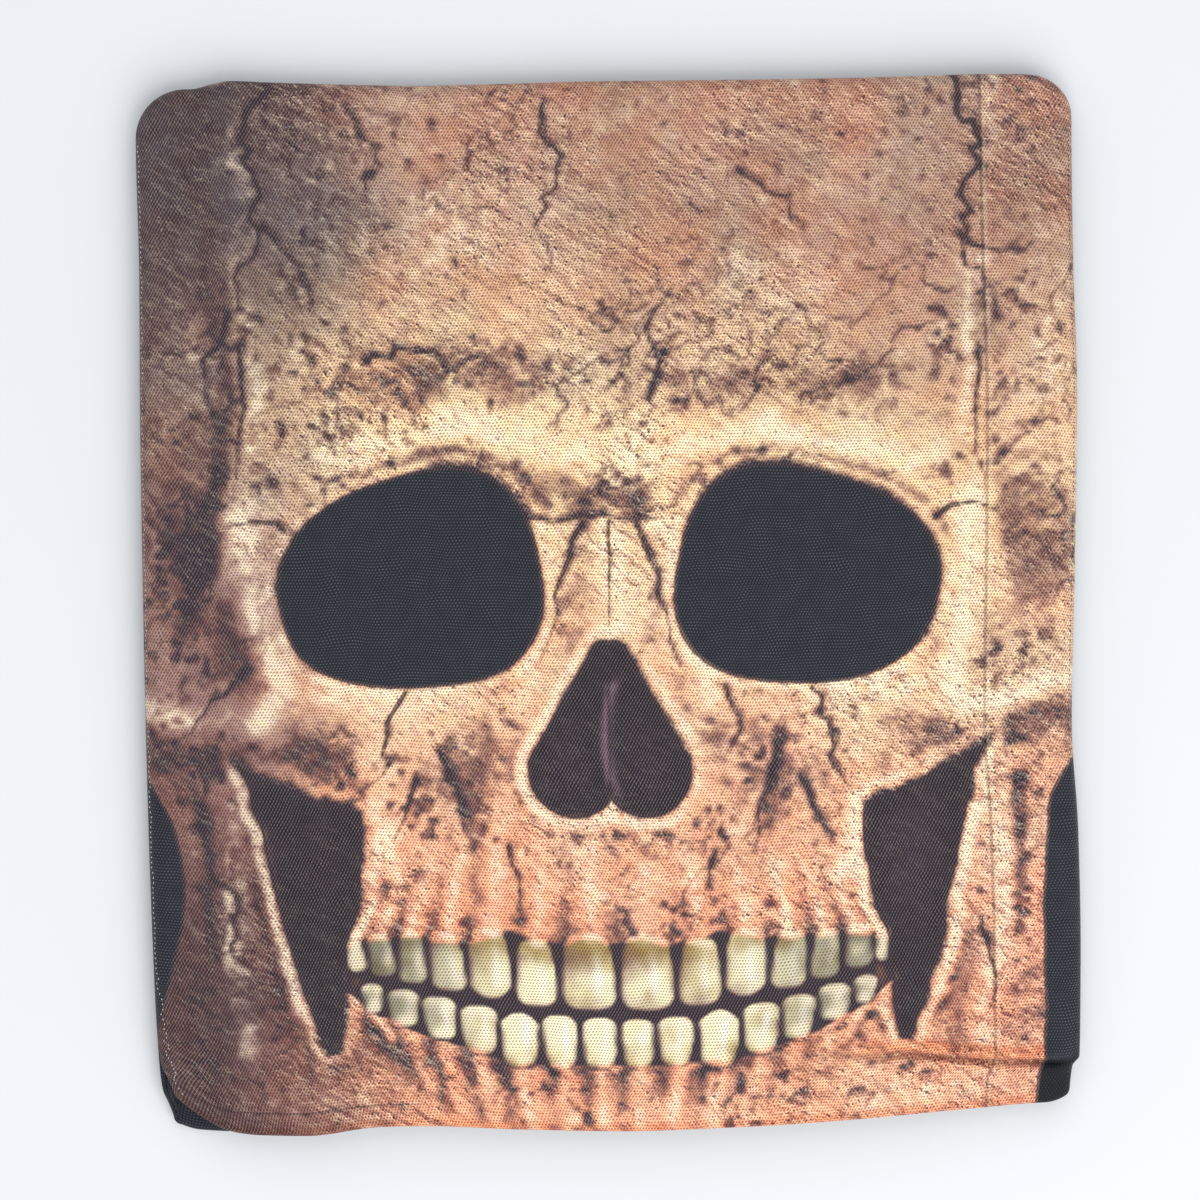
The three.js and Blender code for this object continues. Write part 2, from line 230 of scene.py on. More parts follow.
@dataclass(frozen=True)
class Pattern:
    """The flat pattern of the mask in millimetres, and how it lies on the table."""

    width: float = 240.0
    length: float = 268.0
    rest_height: float = 13.0
    seam_height: float = 5.6
    fold_radius: float = 5.0
    crown_left: float = 13.0
    crown_right: float = 9.5
    cloth: float = 0.9
    stitched_gap: float = 0.3
    slack: float = 2.2
    slack_reach: float = 48.0
    drape: float = 0.3
    drape_size: float = 46.0
    ripple: float = 0.06
    ripple_size: float = 9.0
    pucker: float = 0.12
    pucker_pitch: float = 7.3
    pucker_sway: float = 2.2
    corner_lift: float = 7.0
    corner_reach: Pair = (11.0, 28.0)
    bare_drop: float = 2.4
    bare_reach: Pair = (9.0, 2.0)
    corner_round: float = 7.0
    corner_rise: float = 2.0
    roll_share: float = 0.5
    left_edge: Curve = Curve(
        (0, 0.014, 0.033, 0.06, 0.085, 0.146, 0.26, 0.37, 0.54, 0.69, 0.82, 0.93, 1),
        (0.0395, 0.0345, 0.029, 0.0255, 0.0235, 0.02, 0.0152, 0.0117, 0.0077, 0.0052, 0.0044, 0.001, 0))
    right_edge: Curve = Curve(
        (0, 0.012, 0.027, 0.039, 0.085, 0.146, 0.26, 0.37, 0.54, 0.69, 0.82, 0.93, 1),
        (0.0115, 0.0105, 0.0085, 0.0012, 0.0003, 0, 0.0025, 0.0095, 0.0058, 0.0038, 0.0079, 0.0097, 0.01))
    neck_edge: Curve = Curve(
        WIDTH_SHARES,
        (0.004, 0.0005, 0.0002, 0, 0, 0.0082, 0.0093, 0.0063, 0.0047, 0.0085, 0.0159, 0.0236, 0.0262, 0.0292,
         0.032))
    crown_edge: Curve = Curve(
        WIDTH_SHARES,
        (0.0145, 0.0145, 0.0088, 0.0066, 0.0082, 0.0102, 0.0112, 0.0094, 0.0068, 0.0056, 0.0037, 0.0012, 0, 0,
         0.006))
    sections: Curve = Curve((0, 0.05, 0.14, 0.35, 0.55, 0.8, 0.93, 1),
                            (0.77, 0.85, 0.935, 0.985, 1, 0.985, 0.95, 0.93))
    folds: tuple[Fold, ...] = (
        Fold((0.905, 0.1), (0.9, 0.99), 0.0055, -0.042, -0.022),
        Fold((0.1, 0.985), (0.2, 0.8), 0.03, 0.03, 0),
        Fold((0.93, 0.98), (0.76, 0.84), 0.035, 0.025, 0),
        Fold((0.2, 0.66), (0.62, 0.72), 0.12, 0.01, 0.02),
        Fold((0.1, 0.24), (0.44, 0.33), 0.07, -0.055, -0.01),
        Fold((0.5, 0.16), (0.84, 0.25), 0.075, -0.015, -0.05),
        Fold((0.24, -0.01), (0.34, 0.07), 0.045, -0.05, -0.005),
    )

    hem_crease: HemCrease = HemCrease()

    @property
    def crown_depth(self) -> float:
        """How far below the crown the rounded corners reach."""
        return max(self.crown_left, self.crown_right, self.fold_radius)

    def row_ends(self, along: Array, inset: Array) -> tuple[Array, Array]:
        """Both ends of each row: the side, taken in by a quarter circle at the crown's corners.

        Args:
            along: each row's place.
            inset: how far inside the outline each row lies.

        Returns: the left and the right ends.
        """
        depth = np.maximum(self.length - inset - along, 0.0)

        def take(corner: float) -> Array:
            """The corner's quarter circle: its radius less the root of the radius squared less the rise's."""
            radius = np.maximum(corner - inset, 0.0)
            rise = np.clip(radius - depth, 0.0, radius)
            return radius - np.sqrt(radius**2 - rise**2)

        half = self.width / 2 - inset
        return take(self.crown_left) - half, half - take(self.crown_right)

    def seam_distance(self, across: Array, along: Array) -> Array:
        """The distance to the sewn outline, which leaves out the neck edge.

        Args:
            across, along: places on the pattern.

        Returns:
            The distances, from straight edges or from the corners' arcs.
        """
        radius = np.where(across < 0, self.crown_left, self.crown_right)
        beside = self.width / 2 - np.abs(across)
        below = self.length - along
        arc = radius - np.hypot(radius - beside, radius - below)
        return np.where((beside >= radius) | (below >= radius), np.minimum(beside, below), arc)

    def folds_rise(self, across: Array, along: Array) -> Array:
        """The rise of every fold: a bell curve of the distance from its line, in millimetres.

        Args:
            across, along: places on the pattern.

        Returns: the summed rise.
        """
        rise = np.zeros_like(across)
        for fold in self.folds:
            start = np.array([fold.start[0] * self.width - self.width / 2, fold.start[1] * self.length])
            run = np.array([fold.end[0] * self.width - self.width / 2, fold.end[1] * self.length]) - start
            t = np.clip(((across - start[0]) * run[0] + (along - start[1]) * run[1]) / (run @ run), 0.0, 1.0)
            off = np.hypot(across - start[0] - t * run[0], along - start[1] - t * run[1])
            height = fold.start_rise + (fold.end_rise - fold.start_rise) * t
            rise += height * self.rest_height * np.exp(-((off / (fold.half_width * self.width)) ** 2))
        return rise

    def fold_share(self, distance: Array, inset: Array | float) -> Array:
        """How much of its height the cloth has at a distance from the seam: a quarter of an ellipse."""
        t = np.clip((distance - inset) / (self.fold_radius - inset), 0.0, 1.0)
        return np.sqrt(1.0 - (1.0 - t) ** 2)

    def face_height(self, across: Array, along: Array, inset: Array | float) -> Array:
        """The face cloth's height over the table.

        Args:
            across, along: places on the pattern.
            inset: how far inside the outer face the layer lies.

        Returns:
            The fold's quarter ellipse up to most of the section's height and a long ease up to the rest,
            with the folds and a slight drape added.
        """
        distance = self.seam_distance(across, along)
        foot = self.seam_height + self.stitched_gap / 2
        top = self.sections.at(along / self.length) * self.rest_height
        top -= self.slack * ease(self.slack_reach, 0.0, distance)
        inside = ease(0.0, 2 * self.fold_radius, distance)
        drape = (self.drape * fractal(across, along, self.drape_size, 3, 31)
                 + self.ripple * fractal(across, along, self.ripple_size, 2, 32))
        sway = self.pucker_sway * lattice(across, along, 19.0, 33)
        pucker = self.pucker * np.sin(along * 2 * math.pi / self.pucker_pitch + sway)
        near = ease(9.0, 2.0, distance) * ease(0.4, 2.0, distance)
        crease = self.hem_crease.rise(across, along) * ease(0.5, self.hem_crease.seam_reach, distance)
        return (foot + (top - foot - inset) * self.fold_share(distance, inset)
                + (self.folds_rise(across, along) + drape) * inside + pucker * near + crease)

    def drawn_up(self, across: Array, along: Array) -> Array:
        """How far the face's lower left corner is drawn up to bare the back's hem: a bell curve inwards."""
        beside = (across + self.width / 2) / self.corner_reach[0]
        return self.corner_lift * np.exp(-(beside**2)) * ease(self.corner_reach[1], 0.0, along)

    def corner_take(self, across: Array, along: Array) -> Array:
        """How far the neck edge's own corners are taken in: the square of how near the side they are."""
        near = np.clip(1.0 - (self.width / 2 - np.abs(across)) / self.corner_round, 0.0, 1.0)
        return self.corner_rise * near**2 * ease(2.0 * self.corner_round, 0.0, along)

    def back_height(self, across: Array, along: Array, inset: Array | float) -> Array:
        """The back's height: flat inside its fold's quarter ellipse, which is lower in the bared corner."""
        head = self.seam_height - self.stitched_gap / 2
        head = head - self.bare_drop * ease(*self.bare_reach, along) * (across < 0)
        return head - (head - inset) * self.fold_share(self.seam_distance(across, along), inset)

    def place(self, across: Array, along: Array, height: Array) -> Array:
        """The real place of points of the pattern, with its edges drawn in as the curves say.

        Args:
            across, along: places on the pattern.
            height: their heights over the table.

        Returns:
            The points, with x, y and z last, in millimetres.
        """
        share = np.clip(across / self.width + 0.5, 0.0, 1.0)
        part = np.clip(along / self.length, 0.0, 1.0)
        x = (across + self.left_edge.at(part) * self.width * (1 - share)
             - self.right_edge.at(part) * self.width * share)
        y = (along - self.length / 2 + self.neck_edge.at(share) * self.length * (1 - part)
             - self.crown_edge.at(share) * self.length * part)
        return np.stack(np.broadcast_arrays(x, y, height), axis=-1)

    def surface(self, side: Side, across: Array, along: Array, inset: Array | float) -> Array:
        """The real place of points of a panel's cloth.

        Args:
            side: which panel.
            across, along: places on the pattern.
            inset: how far inside the outer face they lie.

        Returns:
            The points, with the neck edge's corners taken in and the face's lower left corner drawn up.
        """
        height_of = self.face_height if side is Side.FACE else self.back_height
        points = self.place(across, along, height_of(across, along, inset))
        points[..., 1] += self.corner_take(across, along)
        if side is Side.FACE:
            points[..., 1] += self.drawn_up(across, along)
        return points

    def unrolled(self, across: Array, along: Array) -> tuple[Array, Array]:
        """Where cloth that rolls over an edge lies on the flat print.

        Args:
            across, along: places on the pattern.

        Returns:
            The print's places. Round the fold they run on, straight out from the seam, by a share of what a
            circle of the fold's radius would add, since the fold is a flat ellipse.
        """
        corner = np.where(across < 0, self.crown_left, self.crown_right)
        beside = self.width / 2 - np.abs(across)
        below = self.length - along
        cornered = (beside < corner) & (below < corner)
        out_across = np.where(cornered, corner - beside, beside < below)
        out_along = np.where(cornered, corner - below, beside >= below)
        out = np.maximum(np.hypot(out_across, out_along), 0.01)
        t = np.clip(1.0 - self.seam_distance(across, along) / self.fold_radius, 0.0, 1.0)
        run_on = self.roll_share * self.fold_radius * (np.arcsin(t) - t) / out
        return across + np.sign(across) * run_on * out_across, along + run_on * out_along


def lattice(x: Array, y: Array, size: float, seed: int) -> Array:
    """Smooth noise from -1 to 1: random values at the corners of squares, eased between them.

    Args:
        x, y: places across and along.
        size: the side of a square.
        seed: which random values.

    Returns: the noise.
    """
    table = np.random.default_rng(seed).uniform(-1.0, 1.0, (97, 97))
    across, along = x / size + 31.7, y / size + 17.3
    column, row = np.floor(across).astype(int), np.floor(along).astype(int)
    tx, ty = ease(0.0, 1.0, across - column), ease(0.0, 1.0, along - row)

    def corner(right: int, up: int) -> Array:
        """The random value of one corner of each place's square."""
        return table[(row + up) % 97, (column + right) % 97]

    low = corner(0, 0) * (1 - tx) + corner(1, 0) * tx
    high = corner(0, 1) * (1 - tx) + corner(1, 1) * tx
    return low * (1 - ty) + high * ty


def fractal(x: Array, y: Array, size: float, octaves: int, seed: int) -> Array:
    """Noise on several scales: each octave has half the size and 0.55 of the strength of the one before.

    Args:
        x, y: places across and along.
        size: the largest square's side.
        octaves: how many scales.
        seed: which random values.

    Returns: the noise, about from -1 to 1.
    """
    total, strength, reach = np.zeros(np.broadcast(x, y).shape), 1.0, 0.0
    for octave in range(octaves):
        total += strength * lattice(x, y, size / 2**octave, seed + 101 * octave)
        reach += strength
        strength *= 0.55
    return total * 1.6 / reach


class Zone(Enum):
    """The parts of the print that have a colour of their own."""

    CROWN = (180, 135, 112)
    FOREHEAD = (248, 216, 168)
    CHEEK = (240, 198, 158)
    JAW = (240, 172, 134)
    SHADE = (92, 60, 62)
    DEEP = (44, 30, 44)
    BARE = (196, 172, 158)
    LIGHT = (254, 240, 208)
    TOOTH = (238, 232, 192)
    TOOTH_ROOT = (148, 122, 66)

    @property
    def paint(self) -> Array:
        """The zone's screen colour from 0 to 1."""
        return np.array(self.value) / 255.0


@dataclass(frozen=True)
class Mound:
    """A soft swelling, or a hollow if its rise is negative, on both sides of the print's middle."""

    at: Pair
    reach: Pair
    rise: float
    turn: float = 0.0


@dataclass(frozen=True)
class Ridge:
    """A soft bar between two ends, on both sides of the print's middle."""

    start: Pair
    end: Pair
    radius: float
    rise: float


@dataclass(frozen=True)
class Tooth:
    """The crown of a tooth: its width and its height."""

    width: float
    height: float


@dataclass(frozen=True)
class Rim:
    """The raised and broken edge round a hollow of the print, and the drop into it."""

    ragged: float
    grain: float
    seed: int
    rise: float
    beside: float
    half_width: float
    drop: float
    drop_start: float

    def relief(self, distance: Array, uneven: Array, x: Array, y: Array) -> Array:
        """The rim's relief: a bell curve beside the edge, less a smooth step into the hollow.

        Args:
            distance: the signed distance to the hollow.
            uneven: what the rim's rise is multiplied by.
            x, y: places across and along.
        """
        edge = distance + self.ragged * fractal(x, y, self.grain, 3, self.seed)
        bell = np.exp(-(((edge - self.beside) / self.half_width) ** 2))
        return self.rise * uneven * bell - self.drop * ease(self.drop_start, -0.8, edge)


@dataclass
class TeethLayers:
    """The signed distance to the teeth, their domes and gloss from 0 to 1, and the distance to the mouth."""

    distance: Array
    dome: Array
    gloss: Array
    mouth: Array


@dataclass(frozen=True)
class Crack:
    """A dark line through a few points, that wanders off them by its sway."""

    points: tuple[Pair, ...]
    width: float = 0.62
    sway: float = 1.3
    step: float = 3.0


@dataclass
class Canvas:
    """A fine square grid over the unrolled cloth, on which the print is painted."""

    cell: float = 0.5
    half_width: float = 130.0
    low: float = -16.0
    high: float = 284.0
    x: Array = field(init=False)
    y: Array = field(init=False)

    def __post_init__(self) -> None:
        """Lays out the grid's places, one row for each step along."""
        columns = np.arange(-self.half_width, self.half_width + self.cell, self.cell)
        rows = np.arange(self.low, self.high + self.cell, self.cell)
        self.x, self.y = np.meshgrid(columns, rows)

    def blur(self, values: Array, radius: float) -> Array:
        """Softens by three running means each way, which together come close to a bell curve.

        Args:
            values: what to soften.
            radius: about the bell's half-width, in millimetres.

        Returns: the softened values.
        """
        reach = max(int(round(radius / self.cell)), 1)
        for axis in (0, 1):
            for _ in range(3):
                pad = [(reach + 1, reach) if axis == side else (0, 0) for side in (0, 1)]
                total = np.cumsum(np.pad(values, pad, mode="edge"), axis=axis)
                size = values.shape[axis]
                high = np.take(total, np.arange(2 * reach + 1, 2 * reach + 1 + size), axis=axis)
                low = np.take(total, np.arange(size), axis=axis)
                values = (high - low) / (2 * reach + 1)
        return values

    def window(self, low: Pair, high: Pair,
               margin: float) -> tuple[slice, slice]:
        """The rows and columns that cover a box, from its low to its high corner, with a margin."""
        def span(start: float, end: float, origin: float, count: int) -> slice:
            """The indices from start to end."""
            first = int((start - margin - origin) / self.cell)
            last = int((end + margin - origin) / self.cell) + 2
            return slice(max(first, 0), min(max(last, 1), count))

        return (span(low[1], high[1], self.low, self.x.shape[0]),
                span(low[0], high[0], -self.half_width, self.x.shape[1]))

    def read(self, values: Array, x: Array, y: Array) -> Array:
        """Reads painted values at any places, blended between the four cells around each.

        Args:
            values: one number or colour for each cell.
            x, y: places across and along.

        Returns: the values there.
        """
        across = np.clip((x + self.half_width) / self.cell, 0, self.x.shape[1] - 1.001)
        along = np.clip((y - self.low) / self.cell, 0, self.x.shape[0] - 1.001)
        column, row = across.astype(int), along.astype(int)
        tx, ty = across - column, along - row
        if values.ndim == 3:
            tx, ty = tx[..., None], ty[..., None]
        low = values[row, column] * (1 - tx) + values[row, column + 1] * tx
        high = values[row + 1, column] * (1 - tx) + values[row + 1, column + 1] * tx
        return low * (1 - ty) + high * ty


def bar_distance(x: Array, y: Array, start: Pair,
                 end: Pair) -> tuple[Array, Array]:
    """The distance from places to a straight bar, and how far along the bar they are, from 0 to 1.

    Args:
        x, y: places across and along.
        start: the bar's first end.
        end: its last.

    Returns: the distances and the shares.
    """
    run = (end[0] - start[0], end[1] - start[1])
    along = (x - start[0]) * run[0] + (y - start[1]) * run[1]
    t = np.clip(along / (run[0] ** 2 + run[1] ** 2), 0.0, 1.0)
    return np.hypot(x - start[0] - t * run[0], y - start[1] - t * run[1]), t


def evenly(path: Array, count: int) -> Array:
    """Points evenly along a path of straight runs.

    Args:
        path: the path's points.
        count: how many points to take.

    Returns:
        The points, from the path's first to its last.
    """
    steps = np.concatenate(([0.0], np.cumsum(np.hypot(*np.diff(path, axis=0).T))))
    at = np.linspace(0.0, steps[-1], count)
    return np.stack([np.interp(at, steps, path[:, axis]) for axis in (0, 1)], axis=-1)


@dataclass
class SkullPrint:
    """A plain skull on drawing-book proportions, for a print 240 mm wide.

    The eye sockets are at half the head's height, the nose ends a third of the way down from them to the
    chin, and the teeth meet halfway between the nose and the chin. All sizes are in millimetres.
    """

    canvas: Canvas = field(default_factory=Canvas)
    socket_at: Pair = (51.0, 139.0)
    socket_reach: Pair = (33.0, 26.5)
    socket_turn: float = -0.2
    bite: float = 29.0
    seed: int = 7
    pit_count: int = 1500
    light: Vector3 = (0.34, 0.50, 0.80)
    light_weight: float = 0.62
    soft_radii: tuple[float, ...] = (12.0, 4.0, 1.2)
    soft_weights: tuple[float, ...] = (0.04, 0.085, 0.34)
    socket_swelling: Rim = Rim(0.5, 11.0, 57, 1.0, 6.5, 4.0, 0.0, 1.6)
    socket_rim: Rim = Rim(0.5, 11.0, 57, 1.1, 2.3, 1.0, 5.0, 1.6)
    nose_rim: Rim = Rim(0.5, 7.0, 65, 1.8, 2.9, 1.5, 7.0, 1.8)
    jaw_rim: Rim = Rim(0.6, 8.0, 66, 1.8, 3.4, 1.7, 7.0, 2.2)
    mounds: tuple[Mound, ...] = (
        Mound((44, 212), (31, 26), 8.0),
        Mound((0, 232), (20, 40), 3.0),
        Mound((0, 171), (15, 10), 6.0),
        Mound((0, 155), (10, 5), -4.0),
        Mound((24, 189), (22, 7), -2.0),
        Mound((62, 190), (20, 6), -2.4),
        Mound((78, 107), (21, 11), 12.0, -0.15),
        Mound((56, 99), (14, 8), 4.0),
        Mound((40, 86), (11, 12), -5.5),
        Mound((33, 118), (6, 10), -2.0),
        Mound((0, 58), (62, 19), 9.0),
        Mound((0, 78), (4, 4), 5.0),
        Mound((0, -2), (28, 9), 6.0),
        Mound((110, 143), (12, 22), -8.0),
        Mound((112, 196), (12, 30), 4.0),
        Mound((46, 15), (22, 6), -2.0),
        Mound((100, 40), (7, 18), 3.5),
    )
    ridges: tuple[Ridge, ...] = (
        Ridge((9, 170), (38, 179), 8.0, 7.5),
        Ridge((38, 179), (82, 168), 6.5, 6.0),
        Ridge((88, 116), (93, 154), 6.5, 9.0),
        Ridge((92, 104), (128, 111), 7.0, 10.0),
        Ridge((14, 150), (25, 106), 6.0, 5.0),
        Ridge((0, 152), (0, 126), 6.5, 11.0),
        Ridge((64, 92), (58, 66), 5.0, 5.0),
        Ridge((99, 88), (95, 20), 6.5, 5.5),
        Ridge((91, 76), (82, 30), 2.6, 4.5),
        Ridge((106, 84), (102, 44), 2.4, -3.2),
        Ridge((98, 6), (44, -10), 9.0, 5.0),
        Ridge((36, 72), (44, 98), 2.0, -1.3),
        Ridge((56, 72), (49, 88), 1.8, -1.2),
    )
    upper: tuple[Tooth, ...] = (Tooth(14.4, 19.2), Tooth(11.4, 17.0), Tooth(11.6, 18.8), Tooth(9.2, 15.2),
                                Tooth(7.8, 13.6), Tooth(7.0, 11.6), Tooth(4.8, 9.0))
    lower: tuple[Tooth, ...] = (Tooth(9.2, 13.0), Tooth(9.8, 13.4), Tooth(10.8, 14.6), Tooth(9.6, 12.8),
                                Tooth(9.0, 11.4), Tooth(8.6, 9.8), Tooth(5.8, 8.0))
    cracks: tuple[Crack, ...] = (
        Crack(((-84, 276), (-92, 252), (-88, 230), (-97, 208)), 0.8, 2.6, 3.4),
        Crack(((-97, 208), (-104, 196), (-101, 182)), 0.6, 1.8, 4.0),
        Crack(((-88, 230), (-78, 221), (-74, 209)), 0.5, 1.4),
        Crack(((86, 276), (95, 250), (90, 226), (99, 204)), 0.8, 2.6, 3.4),
        Crack(((90, 226), (100, 220), (112, 224)), 0.55, 1.5),
        Crack(((-16, 262), (-12, 244), (-19, 231), (-15, 219)), 0.5, 1.8),
        Crack(((34, 244), (47, 236), (52, 224)), 0.5, 1.5),
        Crack(((-62, 196), (-50, 200), (-41, 194), (-33, 197)), 0.55, 1.5),
        Crack(((83, 153), (91, 157), (99, 154)), 0.62, 1.4, 3.0),
        Crack(((-83, 153), (-91, 157), (-99, 154)), 0.62, 1.4, 3.0),
        Crack(((52, 111), (58, 101), (56, 92), (64, 84)), 0.6, 1.5, 3.4),
        Crack(((-52, 111), (-58, 102), (-57, 92), (-65, 85)), 0.6, 1.5, 3.4),
        Crack(((0, 155), (0.8, 140), (-0.4, 127)), 0.5, 0.7, 4.0),
        Crack(((7, 154), (12, 142), (15, 126), (18, 118)), 0.55, 0.9, 4.5),
        Crack(((-7, 154), (-12, 142), (-15, 126), (-18, 118)), 0.55, 0.9, 4.5),
        Crack(((-20, 156), (-13, 155), (-3, 156.5), (6, 155), (19, 156)), 0.5, 0.8, 3.0),
        Crack(((-93, 118), (-104, 108), (-110, 101)), 0.55, 1.2),
        Crack(((30, 112), (34, 103), (31, 95)), 0.5, 1.0),
        Crack(((-104, 66), (-97, 58), (-99, 46), (-92, 38)), 0.55, 1.6),
        Crack(((95, 44), (99, 32), (93, 22)), 0.55, 1.4),
        Crack(((-66, 262), (-58, 250), (-61, 240)), 0.5, 1.4),
        Crack(((10, 186), (13, 196), (9, 205), (16, 213)), 0.5, 1.4),
        Crack(((43, 97), (41, 88), (38, 80), (36, 70)), 0.5, 0.7, 3.6),
        Crack(((-44, 96), (-40, 86), (-39, 78), (-36, 72)), 0.5, 0.7, 3.6),
        Crack(((49, 88), (52, 80), (56, 71)), 0.48, 0.7, 3.6),
        Crack(((-50, 89), (-53, 79), (-57, 72)), 0.48, 0.7, 3.6),
        Crack(((94, 196), (93, 176), (96, 158)), 0.5, 1.0, 5.0),
        Crack(((-94, 200), (-93, 180), (-96, 160)), 0.5, 1.0, 5.0),
        Crack(((26, 70), (24, 62), (25, 56)), 0.45, 0.5, 3.6),
        Crack(((-27, 72), (-25, 63), (-25, 55)), 0.45, 0.5, 3.6),
    )

    @cached_property
    def side(self) -> Array:
        """How far each place is from the print's middle."""
        return np.abs(self.canvas.x)

    @cached_property
    def ink(self) -> Array:
        """The signed distance to the black: the eye sockets and all that lies beside the jaw."""
        return np.minimum(self.sockets, self.outside)

    @cached_property
    def hollow(self) -> Array:
        """The signed distance to the dim hollows: the nose and the gap beside the upper jaw."""
        return np.minimum(self.nose, self.beside_jaw)

    @cached_property
    def line(self) -> Array:
        """The signed distance to the dark lines: the cracks and the gaps between the teeth."""
        return np.minimum(self.crack_marks[0], np.maximum(self.teeth.mouth, -self.teeth.distance))

    @cached_property
    def sockets(self) -> Array:
        """The signed distance to the eye sockets: a turned oval with a power of 2.5, so a little square."""
        x, y = self.side - self.socket_at[0], self.canvas.y - self.socket_at[1]
        cosine, sine = math.cos(self.socket_turn), math.sin(self.socket_turn)
        across, up = x * cosine + y * sine, y * cosine - x * sine
        up = up * (1 + 0.0042 * across)
        wide, tall = self.socket_reach
        size = (np.abs(across / wide) ** 2.5 + np.abs(up / tall) ** 2.5) ** 0.4
        return (size - 1.0) * min(self.socket_reach)

    @cached_property
    def nose(self) -> Array:
        """The signed distance to the nose opening: two bars that widen downwards and meet in the middle."""
        far, t = bar_distance(self.side, self.canvas.y, (9.2, 91.0), (1.2, 121.0))
        return far - (11.4 * (1 - t) + 3.2 * t)

    @cached_property
    def beside_jaw(self) -> Array:
        """The signed distance to the gap beside the upper jaw: between two walls, under a slanted roof."""
        y = self.canvas.y
        wall = Curve((18, 30, 42, 56, 70, 84, 94), (73.5, 71.0, 70.5, 67.0, 64.5, 66.0, 71.0)).at(y)
        branch = Curve((18, 30, 42, 56, 70, 84, 94), (74.0, 78.5, 82.5, 85.5, 88.5, 92.0, 96.0)).at(y)
        roof = y - 80.0 - 0.42 * (self.side - 66.0)
        ragged = 0.8 * lattice(self.canvas.x, y, 6.0, 41)
        ends = np.maximum(roof * 0.9, 20.0 - y)
        return np.maximum(np.maximum(wall - self.side, self.side - branch), ends) + ragged

    @cached_property
    def outside(self) -> Array:
        """The signed distance to the black beside the jaw, from the jaw's half-width at each height.

        On the left the print comes out to the seam again near the neck.
        """
        y = self.canvas.y
        heights = (-16, 8, 26, 44, 62, 76, 86, 94, 104)
        left = Curve(heights, (134, 128, 119.5, 114.0, 111.0, 113, 117.5, 128, 160))
        right = Curve(heights, (110.5, 111, 111, 111, 111.5, 113, 117.5, 128, 160))

        def inside(edge: Curve) -> Array:
            """The distance to one edge: how far inside it each place is, less for a slanted edge."""
            slope = (edge.at(y + 1.0) - edge.at(y - 1.0)) / 2.0
            return (edge.at(y) - self.side) / np.hypot(1.0, slope)

        ragged = 0.7 * lattice(self.canvas.x, y, 9.0, 42)
        return np.where(self.canvas.x < 0, inside(left), inside(right)) + ragged

    def bite_line(self, side: Array) -> Array:
        """Where the teeth meet, which rises towards the back teeth with the square of the distance."""
        return self.bite + 0.0021 * side**2

    @cached_property
    def teeth(self) -> TeethLayers:
        """Draws both rows of teeth, one tooth after another from the middle to each side.

        Returns: the teeth's layers.
        """
        canvas, random = self.canvas, np.random.default_rng(self.seed)
        layers = TeethLayers(*(np.full(canvas.x.shape, start) for start in (40.0, 0.0, 0.0, 0.0)))
        for row, up in ((self.upper, 1.0), (self.lower, -1.0)):
            for hand in (-1.0, 1.0):
                start = 0.4
                for number, tooth in enumerate(row):
                    start = self.draw_tooth(layers, tooth, number, (hand, up), start, random)
        bite = self.bite_line(self.side)
        places = (0, 7, 14, 20, 27, 37, 46, 55, 62, 70)
        top = Curve(places, (17.6, 19.0, 16.6, 17.0, 18.8, 15.2, 14.0, 12.0, 10.4, 6.0)).at(self.side)
        bottom = Curve(places, (12.6, 13.2, 13.0, 13.6, 14.4, 12.8, 11.6, 10.2, 9.0, 5.0)).at(self.side)
        ragged = 0.7 * lattice(canvas.x, canvas.y, 4.0, 43)
        mouth = np.maximum(canvas.y - bite - top, bite - bottom - canvas.y)
        layers.mouth = np.maximum(mouth, (self.side - 70.5) * 0.8) + ragged
        return layers

    def draw_tooth(self, layers: TeethLayers, tooth: Tooth, number: int, towards: Pair,
                   start: float, random: np.random.Generator) -> float:
        """Draws one tooth: a box with rounded corners, narrower at its root, with a curved biting edge.

        Args:
            layers: what it is drawn on.
            tooth: its size, which is varied a little.
            number: its number from the middle; number 2 is pointed.
            towards: its side and its way of growing, each 1 or -1.
            start: where it starts.
            random: what varies it.

        Returns: where the next tooth starts.
        """
        canvas, (hand, up) = self.canvas, towards
        width = tooth.width * random.uniform(0.94, 1.03)
        height = tooth.height * random.uniform(0.94, 1.06)
        middle = start + width / 2
        start += width + random.uniform(0.5, 1.1)
        lean = random.uniform(-0.05, 0.05) - 0.0014 * middle * up
        base = self.bite_line(np.array(middle)) + up * random.uniform(0.4, 1.0)
        area = canvas.window((hand * middle - width, base - 24), (hand * middle + width, base + 24), 1)
        x = canvas.x[area] - hand * middle
        y = (canvas.y[area] - base) * up
        x = x + hand * lean * (y - height / 2) + 0.25 * lattice(x, y, 3.4, 80 + number)
        point = 2.6 if number == 2 else 0.7
        y = y - point * (np.abs(x) / (width / 2)) ** 2 * ease(height * 0.4, 0.0, y)
        part = np.clip(y / height, 0.0, 1.0)
        half = (width / 2 + 0.35) * (1.0 - 0.22 * part**1.6)
        tall = (np.abs((y - height / 2) / (height / 2)) ** 5.0 + np.abs(x / half) ** 4.2) ** 0.22
        near = (tall - 1.0) * min(width, height) / 2
        layers.distance[area] = np.minimum(layers.distance[area], near)
        swell = np.sqrt(np.clip(1.0 - np.clip(tall, 0.0, 1.0) ** 2.4, 0.0, 1.0))
        dome = layers.dome[area]
        layers.dome[area] = np.where(near < 0.4, np.maximum(dome, swell), dome)
        beside = hand * x / half - 0.3 * hand + 0.1 * part
        streak = np.exp(-((beside / 0.2) ** 2) - ((part - 0.42) / 0.3) ** 2)
        shine = streak * random.uniform(0.5, 1.0) * (near < 0.0)
